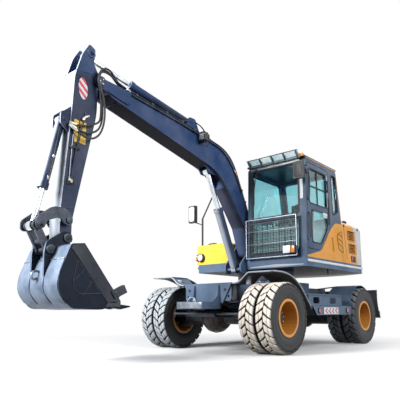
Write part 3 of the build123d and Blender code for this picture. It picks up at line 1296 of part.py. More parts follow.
def arm():
    """The arm: a tapering box with two ears on top, a bracket in front and a bored eye below."""
    tip_x, tip_z = BOOM_TIP
    pin_x, pin_z = BUCKET_PIN
    side = [
        (tip_x - 40, tip_z + 52, 60),
        (tip_x - 40, tip_z - 62, 60),
        (3189, 2940),
        (3187, 2645, 900),
        (pin_x - 62, 1452),
        (pin_x - 66, pin_z - 66, 60),
        (pin_x + 66, pin_z - 66, 60),
        (3562, 1566),
        (3498, 2542, 2500),
        (3480, 3010, 500),
        (3400, 3290, 300),
        (3318, 3440, 26),
        (3238, 3402, 26),
        (3250, 3230, 120),
        (3196, 3140, 80),
    ]
    beam = in_boom_plane(side, ARM_HALF)
    between_ears = [(3190, 3195), (3300, 3120, 60), (3560, 3060), (3560, 3500), (3190, 3500)]
    beam -= in_boom_plane(between_ears, EAR_GAP_HALF)
    for sign in (-1, 1):
        ends = sorted((BOOM_Y + sign * ARM_END_HALF, BOOM_Y + sign * (ARM_HALF + 1)))
        beam -= block(pin_x - 90, pin_x + 90, *ends, pin_z - 80, ARM_END_TOP)
    beam -= cross_bar(BOOM_TIP, ARM_PIN_RADIUS + PIN_PLAY, BOOM_Y - ARM_HALF - 1, BOOM_Y + ARM_HALF + 1)
    beam -= cross_bar(BUCKET_PIN, BOOM_RAM_PIN + PIN_PLAY, BOOM_Y - ARM_HALF - 1, BOOM_Y + ARM_HALF + 1)
    beam += cross_bar(GUIDE_PIN, BOOM_RAM_PIN, BOOM_Y - GUIDE_OUTER - 8, BOOM_Y + GUIDE_OUTER + 8)
    for sign in (-1, 1):
        ends = sorted((BOOM_Y + sign * (EYE_HALF + PIN_STUB + 4), BOOM_Y + sign * (ARM_HALF + 8)))
        beam += cross_bar(ARM_RAM["eye"], BOOM_RAM_PIN, *ends)
    base_x, base_z = BUCKET_RAM["base"]
    lug = [
        (3500, base_z - 150),
        (base_x + 52, base_z - 52, 40),
        (base_x + 52, base_z + 52, 40),
        (3480, base_z + 170),
        (3440, base_z + 170),
        (3440, base_z - 150),
    ]
    for sign in (-1, 1):
        ends = sorted((BOOM_Y + sign * LUG_INNER, BOOM_Y + sign * (LUG_INNER + LUG_WALL)))
        beam += side_plate(lug, *ends)
    beam -= cross_bar(BUCKET_RAM["base"], BASE_SWEEP, BOOM_Y - LUG_INNER, BOOM_Y + LUG_INNER)
    ends = (BOOM_Y - LUG_INNER - LUG_WALL - 8, BOOM_Y + LUG_INNER + LUG_WALL + 8)
    beam += cross_bar(BUCKET_RAM["base"], BOOM_RAM_PIN, *ends)
    save("arm", beam)
    for name, sizes in (("arm", ARM_RAM), ("bucket", BUCKET_RAM)):
        barrel, rod = ram(sizes, BOOM_Y)
        save(f"{name}_cylinder_barrel", barrel)
        save(f"{name}_cylinder_rod", rod)


def bucket_linkage():
    """The guide links beside the arm and the connecting link between the bucket's ears."""
    guide_x, guide_z = GUIDE_PIN
    far_x, far_z = RAM_PIN
    arch = [
        (guide_x - 44, guide_z - 44, 40),
        (guide_x + 44, guide_z - 44, 40),
        (guide_x + 80, guide_z + 24, 60),
        (far_x - 70, far_z + 44, 60),
        (far_x - 40, far_z - 40, 40),
        (far_x + 44, far_z - 44, 40),
        (far_x + 44, far_z + 60, 60),
        (far_x - 120, guide_z + 118, 120),
        (guide_x + 20, guide_z + 120, 120),
        (guide_x - 44, guide_z + 30, 40),
    ]
    guides = []
    for sign in (-1, 1):
        ends = sorted((BOOM_Y + sign * GUIDE_INNER, BOOM_Y + sign * GUIDE_OUTER))
        link = side_plate(arch, *ends)
        stub = sorted((BOOM_Y + sign * (LINK_INNER - 2), BOOM_Y + sign * (GUIDE_OUTER + 8)))
        link += cross_bar(RAM_PIN, BOOM_RAM_PIN, *stub)
        link -= cross_bar(GUIDE_PIN, BOOM_RAM_PIN + PIN_PLAY, ends[0] - 1, ends[1] + 1)
        guides.append(link)
    save("guide_links", *guides)

    forks = []
    for sign in (-1, 1):
        ends = sorted((BOOM_Y + sign * LINK_INNER, BOOM_Y + sign * LINK_OUTER))
        forks.append(link_bar(LINK_PIN, RAM_PIN, 40, *ends, BOOM_RAM_PIN + PIN_PLAY, (RAM_PIN,)))
    web_place = between(LINK_PIN, RAM_PIN, 0.36)
    link = forks[0] + forks[1]
    link += cross_bar(web_place, 26, BOOM_Y - LINK_INNER - 1, BOOM_Y + LINK_INNER + 1)
    link += cross_bar(LINK_PIN, BOOM_RAM_PIN, BOOM_Y - LINK_OUTER - 4, BOOM_Y + LINK_OUTER + 4)
    save("connecting_link", link)


def bucket():
    """The bucket: side plates, a bent shell, a lip with teeth, and two ears for the pins."""
    outer = BUCKET_OUTLINE
    body = in_boom_plane(outer, BUCKET_HALF)
    hollow = in_boom_plane(BUCKET_HOLLOW, BUCKET_HALF - BUCKET_WALL)
    body -= hollow
    ear = [
        (3444, 1165),
        (BUCKET_PIN[0] - 62, BUCKET_PIN[1] - 10),
        (BUCKET_PIN[0] - 50, BUCKET_PIN[1] + 62, 55),
        (BUCKET_PIN[0] + 52, BUCKET_PIN[1] + 62, 55),
        (LINK_PIN[0] + 44, LINK_PIN[1] + 70, 50),
        (LINK_PIN[0] + 60, LINK_PIN[1] - 40, 50),
        (3716, 812, 60),
        (3600, 812),
    ]
    for sign in (-1, 1):
        ends = sorted((BOOM_Y + sign * EAR_INNER, BOOM_Y + sign * (EAR_INNER + EAR_WALL)))
        body += side_plate(ear, *ends) - in_boom_plane(BUCKET_HOLLOW, BUCKET_HALF)
    reach = EAR_INNER + EAR_WALL + 8
    body += cross_bar(BUCKET_PIN, BOOM_RAM_PIN, BOOM_Y - reach, BOOM_Y + reach)
    for sign in (-1, 1):
        head = sorted((BOOM_Y + sign * (EAR_INNER + 1), BOOM_Y + sign * reach))
        body += cross_bar(LINK_PIN, BOOM_RAM_PIN, *head)
    teeth = []
    for n in range(TOOTH_COUNT):
        y = BOOM_Y - BUCKET_HALF + 55 + n * (2 * BUCKET_HALF - 110) / (TOOTH_COUNT - 1)
        tooth = side_plate(TOOTH_OUTLINE, y - 26, y + 26)
        teeth.append(tooth)
    body += teeth
    save("bucket", body)


def main():
    wheels()
    beams = axles()
    frame = chassis(beams)
    fenders(frame)
    blade()
    house()
    cab()
    cab_inside()
    cab_outside()
    boom()
    arm()
    bucket_linkage()
    bucket()


if __name__ == "__main__":
    main()
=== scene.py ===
"""Dresses the wheeled excavator: finishes for its parts, and the pieces too small or soft for the frame."""

import math

import bpy
from bpy.props import FloatProperty, FloatVectorProperty, IntProperty, PointerProperty
from mathutils import Matrix, Vector


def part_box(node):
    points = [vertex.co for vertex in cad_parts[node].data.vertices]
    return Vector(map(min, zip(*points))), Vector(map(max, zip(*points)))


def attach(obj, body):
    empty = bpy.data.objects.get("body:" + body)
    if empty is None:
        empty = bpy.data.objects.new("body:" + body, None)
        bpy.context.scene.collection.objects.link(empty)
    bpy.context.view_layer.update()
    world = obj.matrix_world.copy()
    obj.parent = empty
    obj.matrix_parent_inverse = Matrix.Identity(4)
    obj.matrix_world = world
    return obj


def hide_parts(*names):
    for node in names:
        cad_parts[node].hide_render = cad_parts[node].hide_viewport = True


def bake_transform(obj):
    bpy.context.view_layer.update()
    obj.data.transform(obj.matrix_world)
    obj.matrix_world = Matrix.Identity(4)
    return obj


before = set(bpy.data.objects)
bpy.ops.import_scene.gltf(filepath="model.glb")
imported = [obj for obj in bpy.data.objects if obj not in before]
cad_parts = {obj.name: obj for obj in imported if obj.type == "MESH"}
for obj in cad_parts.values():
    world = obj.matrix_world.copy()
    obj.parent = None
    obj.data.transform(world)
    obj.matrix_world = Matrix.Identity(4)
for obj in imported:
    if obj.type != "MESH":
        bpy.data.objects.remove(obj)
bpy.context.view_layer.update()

bl_info = {
    "name": "Wheeled Excavator",
    "version": (1, 0, 0),
    "blender": (4, 5, 0),
    "location": "View3D > Sidebar > Excavator",
    "description": "Finishes and small pieces of a wheeled excavator with twin tyres, cab, digging arm and blade",
    "category": "Object",
}


# ---- Finding the frame's places ---------------------------------------------------------------
def middle(node):
    """The centre of a part of the frame."""
    low_corner, high_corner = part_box(node)
    return (Vector(low_corner) + Vector(high_corner)) / 2


def low(node):
    """A part's lowest corner."""
    return Vector(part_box(node)[0])


def high(node):
    """A part's highest corner."""
    return Vector(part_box(node)[1])


WHEELS = [(axle, side) for axle in ("front", "rear") for side in ("left", "right")]
WHEELBASE_MIDDLE = (middle("tyres_front_left").x + middle("tyres_rear_left").x) / 2


def at(x, y, z):
    """A place given in millimetres from under the middle of the wheelbase, as a workshop drawing has it."""
    return Vector((WHEELBASE_MIDDLE + x / 1000, y / 1000, z / 1000))


# Faces that many pieces stand on, in millimetres
CAB_LEFT = high("cab_frame").y * 1000
BOOM_MIDDLE = middle("arm").y * 1000
BOOM_LEFT = BOOM_MIDDLE + 122
ARM_LEFT = BOOM_MIDDLE + 105
DECK_TOP = high("deck").z * 1000
HOUSE_SIDE = high("deck").y * 1000
PLATE_FRONT = 1405
STEP_FACE = 1062


# ---- Colour and shader building ---------------------------------------------------------------
def linear(colour):
    """An sRGB hex colour as the linear RGBA that a shader takes."""
    parts = [int(colour[k : k + 2], 16) / 255 for k in (1, 3, 5)]
    return (*[p / 12.92 if p <= 0.04045 else ((p + 0.055) / 1.055) ** 2.4 for p in parts], 1.0)


def toned(colour, share, towards="#000000"):
    """A linear colour moved a share of the way to another one."""
    other = linear(towards)
    return (*[a + (b - a) * share for a, b in zip(colour[:3], other[:3])], 1.0)


def add(tree, kind, links=(), values=(), **settings):
    """Adds one shader node. Settings are its properties or the names of its inputs.

    Links are (input, node, output) and values are (input, value)."""
    node = tree.nodes.new(kind)
    for name, value in settings.items():
        label = name.replace("_", " ")
        if label in node.inputs:
            node.inputs[label].default_value = value
        else:
            setattr(node, name, value)
    for socket, value in values:
        node.inputs[socket].default_value = value
    for socket, source, output in links:
        tree.links.new(source.outputs[output], node.inputs[socket])
    return node


def ramp(tree, source, output, stops):
    """A colour ramp with (place, linear colour) stops."""
    node = add(tree, "ShaderNodeValToRGB", [("Fac", source, output)])
    node.color_ramp.elements[0].position = stops[0][0]
    node.color_ramp.elements[0].color = stops[0][1]
    node.color_ramp.elements[1].position = stops[-1][0]
    node.color_ramp.elements[1].color = stops[-1][1]
    for place, colour in stops[1:-1]:
        node.color_ramp.elements.new(place).color = colour
    return node


def start_material(name):
    """An empty material with its output and its principled shader, and the object coordinates."""
    material = bpy.data.materials.new(name)
    material.use_nodes = True
    tree = material.node_tree
    tree.nodes.clear()
    shader = add(tree, "ShaderNodeBsdfPrincipled")
    add(tree, "ShaderNodeOutputMaterial", [("Surface", shader, "BSDF")])
    place = add(tree, "ShaderNodeTexCoord")
    return material, tree, shader, place


def noise(tree, place, scale, detail, roughness=0.5):
    """Cloudy noise in object coordinates. Scale counts its clouds per metre."""
    return add(
        tree, "ShaderNodeTexNoise", [("Vector", place, "Object")], Scale=scale, Detail=detail, Roughness=roughness
    )


def mixed(tree, share, output, first, second):
    """Mixes two colours, each one a node or a plain linear colour."""
    node = add(tree, "ShaderNodeMixRGB", [("Fac", share, output)])
    for socket, colour in (("Color1", first), ("Color2", second)):
        if isinstance(colour, tuple):
            node.inputs[socket].default_value = colour
        else:
            tree.links.new(colour.outputs["Color"], node.inputs[socket])
    return node


def paint(tree, shader, source):
    """Makes a node's colour the shader's own."""
    tree.links.new(source.outputs["Color"], shader.inputs["Base Color"])


def roughen(tree, shader, source, output, least, most):
    """Lets a texture move the roughness between two values."""
    dull = add(tree, "ShaderNodeMapRange", [("Value", source, output)], To_Min=least, To_Max=most)
    tree.links.new(dull.outputs["Result"], shader.inputs["Roughness"])


def emboss(tree, shader, source, output, strength, depth=0.001):
    """Raises a texture as relief, its depth in metres."""
    bump = add(tree, "ShaderNodeBump", [("Height", source, output)], Strength=strength, Distance=depth)
    tree.links.new(bump.outputs["Normal"], shader.inputs["Normal"])


def dusted(tree, place, base, dust, from_height, to_height, amount):
    """Road dust over a base colour, thicker low down and broken into grains. Returns the mixed colour's node."""
    # Grains drawn at 20 mm, coarser than real dust, so that they show
    grit = noise(tree, place, 46.0, 6.0, 0.7)
    broken = add(tree, "ShaderNodeMapRange", [("Value", grit, "Fac")], From_Min=0.4, From_Max=0.72, To_Max=amount)
    split = add(tree, "ShaderNodeSeparateXYZ", [("Vector", place, "Object")])
    height = add(tree, "ShaderNodeMapRange", [("Value", split, "Z")], From_Min=from_height, From_Max=to_height)
    share = add(tree, "ShaderNodeMath", [(0, height, "Result"), (1, broken, "Result")], operation="MULTIPLY")
    return mixed(tree, share, "Value", base, dust)


def enamel(
    name,
    colour,
    fade=0.16,
    gloss=0.3,
    dust="#8F8A82",
    dust_top=1.0,
    dust_amount=0.5,
    shade_under=0.0,
    beyond=None,
    painted_front_sheen=0.0,
):
    """Sprayed two-pack enamel on welded plate: faded in broad patches, with orange peel and dust settled low down.

    With beyond=(normal, reach, colour) a second colour is masked off where the place along normal passes reach."""
    material, tree, shader, place = start_material(name)
    # Patches of sun fade about 400 mm wide
    fading = noise(tree, place, 2.5, 3.0, 0.55)
    base = ramp(tree, fading, "Fac", [(0.3, toned(colour, fade)), (0.72, toned(colour, fade * 0.5, "#FFFFFF"))])
    if beyond:
        normal, reach, other = beyond
        along = add(tree, "ShaderNodeVectorMath", [(0, place, "Object")], [(1, normal)], operation="DOT_PRODUCT")
        masked = add(tree, "ShaderNodeMath", [(0, along, "Value")], [(1, reach)], operation="GREATER_THAN")
        second = ramp(tree, fading, "Fac", [(0.3, toned(other, fade)), (0.72, toned(other, fade * 0.5, "#FFFFFF"))])
        base = mixed(tree, masked, "Value", base, second)
    if shade_under:
        # Faces that look down are painted a darker brown as shade, and their specular reflection is held down
        facing = add(tree, "ShaderNodeSeparateXYZ", [("Vector", place, "Normal")])
        under = add(
            tree, "ShaderNodeMapRange", [("Value", facing, "Z")], From_Min=-0.2, From_Max=-0.75, To_Max=shade_under
        )
        base = mixed(tree, under, "Result", base, linear("#4A4540"))
        flat = add(tree, "ShaderNodeMapRange", [("Value", under, "Result")], To_Min=0.12, To_Max=0.0)
        tree.links.new(flat.outputs["Result"], shader.inputs["Specular IOR Level"])
    if painted_front_sheen:
        # A painted sheen pales the faces that look forward, towards the key lamp
        facing = add(tree, "ShaderNodeSeparateXYZ", [("Vector", place, "Normal")])
        ahead = add(tree, "ShaderNodeMapRange", [("Value", facing, "X")], From_Min=0.6, From_Max=0.93, To_Max=painted_front_sheen)
        base = mixed(tree, ahead, "Result", base, linear("#C8D0DA"))
    paint(tree, shader, dusted(tree, place, base, linear(dust), dust_top, 0.1, dust_amount))
    smear = noise(tree, place, 11.0, 4.0)
    roughen(tree, shader, smear, "Fac", gloss - 0.05, gloss + 0.16)
    # Orange peel, waves about 3 mm long
    wave = noise(tree, place, 320.0, 1.0)
    emboss(tree, shader, wave, "Fac", 0.06)
    shader.inputs["Specular IOR Level"].default_value = 0.12
    return material


def surface(name, dark, pale, mottle, gloss, spread, grain, relief, **settings):
    """A plain solid: two tones in patches, a roughness that wanders, and a grain in relief. Scales are per metre."""
    material, tree, shader, place = start_material(name)
    patches = noise(tree, place, mottle, 5.0, 0.6)
    tone = ramp(tree, patches, "Fac", [(0.32, linear(dark)), (0.7, linear(pale))])
    paint(tree, shader, tone)
    roughen(tree, shader, patches, "Fac", gloss, gloss + spread)
    texture = noise(tree, place, grain, 3.0)
    emboss(tree, shader, texture, "Fac", relief)
    for socket, value in settings.items():
        shader.inputs[socket.replace("_", " ")].default_value = value
    return material


def radius_about(tree, place, centre):
    """The distance from a wheel's axle, as a node with the output Value."""
    moved = add(tree, "ShaderNodeMapping", [("Vector", place, "Object")], Location=-centre)
    flat = add(
        tree, "ShaderNodeVectorMath", [(0, moved, "Vector")], [(1, (1.0, 0.0, 1.0))], operation="MULTIPLY"
    )
    return add(tree, "ShaderNodeVectorMath", [(0, flat, "Vector")], operation="LENGTH")


def rubber_with_dust_and_light(name, centre, dust):
    """Moulded tyre rubber, black on the walls, with dry dust from the yard it stands in on the tread's faces, in a
    tone given per wheel that is partly painted light.
    """
    material, tree, shader, place = start_material(name)
    radius = radius_about(tree, place, centre)
    patches = noise(tree, place, 34.0, 6.0, 0.75)
    worn = add(tree, "ShaderNodeMapRange", [("Value", radius, "Value")], From_Min=0.412, From_Max=0.4255)
    broken = add(tree, "ShaderNodeMapRange", [("Value", patches, "Fac")], From_Min=0.25, From_Max=0.5, To_Min=0.7)
    share = add(tree, "ShaderNodeMath", [(0, worn, "Result"), (1, broken, "Result")], operation="MULTIPLY")
    wall = ramp(tree, patches, "Fac", [(0.35, linear("#0F1013")), (0.75, linear("#24252A"))])
    paint(tree, shader, mixed(tree, share, "Value", wall, linear(dust)))
    roughen(tree, shader, share, "Value", 0.55, 0.92)
    # Moulding grain, about 4 mm, coarser than the real one so that it shows
    grain = noise(tree, place, 240.0, 2.0)
    emboss(tree, shader, grain, "Fac", 0.35, 0.0015)
    return material


def wheel_enamel(name, centre, colour):
    """Enamelled pressed-steel rim, darkening towards a black painted hub and paler at its outer lip, with brown dust
    settled low down.
    """
    material, tree, shader, place = start_material(name)
    radius = radius_about(tree, place, centre)
    bands = add(tree, "ShaderNodeMapRange", [("Value", radius, "Value")], From_Min=0.09, From_Max=0.235)
    stops = [(0.0, linear("#121316")), (0.04, toned(colour, 0.8)), (0.5, toned(colour, 0.42))]
    shades = ramp(tree, bands, "Result", [*stops, (1.0, toned(colour, 0.08, "#FFFFFF"))])
    paint(tree, shader, dusted(tree, place, shades, linear("#6E5A3C"), 0.75, 0.2, 0.35))
    smear = noise(tree, place, 24.0, 4.0)
    roughen(tree, shader, smear, "Fac", 0.3, 0.5)
    shader.inputs["Coat Weight"].default_value = 0.2
    return material


def oily_axle(name, centre, bronze_reach):
    """Cast axle housing under a film of oil: near-black, with the machined differential showing bronze."""
    material, tree, shader, place = start_material(name)
    patches = noise(tree, place, 15.0, 6.0, 0.7)
    dark = ramp(
        tree, patches, "Fac", [(0.32, linear("#101115")), (0.55, linear("#26272C")), (0.78, linear("#544C44"))]
    )
    moved = add(tree, "ShaderNodeVectorMath", [(0, place, "Object")], [(1, centre)], operation="DISTANCE")
    near = add(tree, "ShaderNodeMapRange", [("Value", moved, "Value")], From_Min=bronze_reach, From_Max=0.12)
    warm = ramp(tree, patches, "Fac", [(0.35, linear("#15110F")), (0.7, linear("#6E5848"))])
    paint(tree, shader, mixed(tree, near, "Result", dark, warm))
    roughen(tree, shader, patches, "Fac", 0.2, 0.55)
    # Sand-cast skin, grains of 5 mm
    grain = noise(tree, place, 190.0, 3.0)
    emboss(tree, shader, grain, "Fac", 0.4, 0.0015)
    shader.inputs["Metallic"].default_value = 0.55
    return material


def bucket_plate(name):
    """Thick rolled wear plate: dark paint rubbed thin on the sides, and bare pale steel where earth polishes it."""
    material, tree, shader, place = start_material(name)
    patches = noise(tree, place, 7.0, 6.0, 0.65)
    painted = ramp(tree, patches, "Fac", [(0.3, linear("#121924")), (0.75, linear("#222C3B"))])
    polished = ramp(tree, patches, "Fac", [(0.3, linear("#57667B")), (0.7, linear("#8493A8"))])
    facing = add(tree, "ShaderNodeSeparateXYZ", [("Vector", place, "Normal")])
    sideways = add(tree, "ShaderNodeMath", [(0, facing, "Y")], operation="ABSOLUTE")
    side = add(tree, "ShaderNodeMapRange", [("Value", sideways, "Value")], From_Min=0.5, From_Max=0.8)
    forward = add(tree, "ShaderNodeMapRange", [("Value", facing, "X")], From_Min=-0.35, From_Max=0.2)
    inner = mixed(tree, forward, "Result", painted, polished)
    paint(tree, shader, mixed(tree, side, "Result", inner, painted))
    # Scratches from digging run along the shell, a few millimetres apart
    stretched = add(tree, "ShaderNodeMapping", [("Vector", place, "Object")], Scale=(6.0, 130.0, 6.0))
    scratch = add(tree, "ShaderNodeTexNoise", [("Vector", stretched, "Vector")], Scale=1.0, Detail=4.0)
    emboss(tree, shader, scratch, "Fac", 0.25)
    roughen(tree, shader, scratch, "Fac", 0.32, 0.6)
    shader.inputs["Metallic"].default_value = 0.25
    shader.inputs["Specular IOR Level"].default_value = 0.15
    return material


def safety_glass(name, tint):
    """Toughened cab glass about 6 mm thick, tinted green-blue all through, with faint wiped smears."""
    material, tree, shader, place = start_material(name)
    smear = noise(tree, place, 3.0, 3.0)
    dull = add(tree, "ShaderNodeMapRange", [("Value", smear, "Fac")], From_Min=0.4, From_Max=0.9, To_Max=0.06)
    tree.links.new(dull.outputs["Result"], shader.inputs["Roughness"])
    tone = ramp(tree, smear, "Fac", [(0.3, tint), (0.75, toned(tint, 0.3, "#FFFFFF"))])
    paint(tree, shader, tone)
    # Dust thrown up by the wheels clouds the lowest panes
    split = add(tree, "ShaderNodeSeparateXYZ", [("Vector", place, "Object")])
    clouded = add(
        tree, "ShaderNodeMapRange", [("Value", split, "Z")], From_Min=1.86, From_Max=1.6, To_Min=1, To_Max=0.55
    )
    tree.links.new(clouded.outputs["Result"], shader.inputs["Transmission Weight"])
    shader.inputs["IOR"].default_value = 1.52
    return material


def striped_sheeting(name, first, second, pitch, slope, centre):
    """Retroreflective sheeting with printed bars. A fine honeycomb of cells glints through the colour."""
    material, tree, shader, place = start_material(name)
    moved = add(tree, "ShaderNodeMapping", [("Vector", place, "Object")], Location=-centre)
    split = add(tree, "ShaderNodeSeparateXYZ", [("Vector", moved, "Vector")])
    lean = add(tree, "ShaderNodeMath", [(0, split, "X")], [(1, slope)], operation="MULTIPLY")
    line = add(tree, "ShaderNodeMath", [(0, split, "Z"), (1, lean, "Value")], operation="ADD")
    saw = add(tree, "ShaderNodeMath", [(0, line, "Value")], [(1, pitch)], operation="FLOORED_MODULO")
    bar = add(tree, "ShaderNodeMath", [(0, saw, "Value")], [(1, pitch / 2)], operation="GREATER_THAN")
    paint(tree, shader, mixed(tree, bar, "Value", linear(first), linear(second)))
    # Cells of 4 mm
    cells = add(tree, "ShaderNodeTexVoronoi", [("Vector", place, "Object")], Scale=250.0)
    emboss(tree, shader, cells, "Distance", 0.15, 0.0005)
    shader.inputs["Roughness"].default_value = 0.35
    return material


def seat_weave(name):
    """Woven seat cloth, charcoal with a paler weft. Its threads are drawn 5 mm apart, coarser than real ones."""
    material, tree, shader, place = start_material(name)
    warp = add(
        tree, "ShaderNodeTexWave", [("Vector", place, "Object")], Scale=32.0, Distortion=0.6, bands_direction="Y"
    )
    weft = add(
        tree, "ShaderNodeTexWave", [
            ("Vector", place, "Object")
        ], Scale=32.0, Distortion=0.6, bands_direction="DIAGONAL"
    )
    cloth = add(tree, "ShaderNodeMath", [(0, warp, "Fac"), (1, weft, "Fac")], operation="MULTIPLY")
    tone = ramp(tree, cloth, "Value", [(0.0, linear("#191B20")), (1.0, linear("#3E424B"))])
    paint(tree, shader, tone)
    emboss(tree, shader, cloth, "Value", 0.4)
    shader.inputs["Roughness"].default_value = 0.9
    shader.inputs["Sheen Weight"].default_value = 0.3
    return material


# ---- Sizes and colours a user may change -------------------------------------------------------
def colour_property(name, description, colour):
    """A colour setting, from its sRGB hex."""
    return FloatVectorProperty(
        name=name, description=description, subtype="COLOR", size=3, min=0, max=1, default=linear(colour)[:3]
    )


class ExcavatorColours(bpy.types.PropertyGroup):
    """The paint, dust and glass colours of the machine."""

    boom: colour_property("Boom", "Enamel of the boom and the arm's upper end", "#143E73")
    arm: colour_property("Arm", "Enamel of the arm and its cylinders", "#1B3054")
    cab: colour_property("Cab", "Enamel of the cab's frame and door", "#36506E")
    chassis: colour_property("Chassis", "Enamel of the undercarriage, deck and fenders", "#4D6683")
    hood: colour_property("Hood", "Enamel of the engine hood and the cab's lower panel", "#EFA43A")
    tank: colour_property("Tank", "Enamel of the tank box beside the boom", "#F6D33C")
    tail: colour_property("Counterweight", "Enamel of the counterweight", "#CFD2D2")
    rim: colour_property("Rims", "Enamel of the wheel rims", "#F09C1C")
    glass: colour_property("Glass tint", "Tint of the cab's safety glass", "#A9DDE3")


class ExcavatorSizes(bpy.types.PropertyGroup):
    """Sizes and counts of the small pieces."""

    lugs_per_row: IntProperty(name="Lugs per row", description="Tread lugs in one row of a tyre", default=24, min=12)
    pipe_radius: FloatProperty(
        name="Pipe radius", description="Steel pipes on the boom and arm", default=0.009, min=0.004, unit="LENGTH"
    )
    hose_radius: FloatProperty(
        name="Hose radius", description="Rubber hoses of the hydraulics", default=0.011, min=0.005, unit="LENGTH"
    )
    bolt_radius: FloatProperty(
        name="Bolt radius", description="To the corners of the common bolts", default=0.013, min=0.005, unit="LENGTH"
    )
    seat_pressure: FloatProperty(name="Seat pressure", description="How hard the cushions are blown up", default=4.0)


def colours():
    """The scene's colour settings."""
    return bpy.context.scene.excavator_colours


def sizes():
    """The scene's size settings."""
    return bpy.context.scene.excavator_sizes


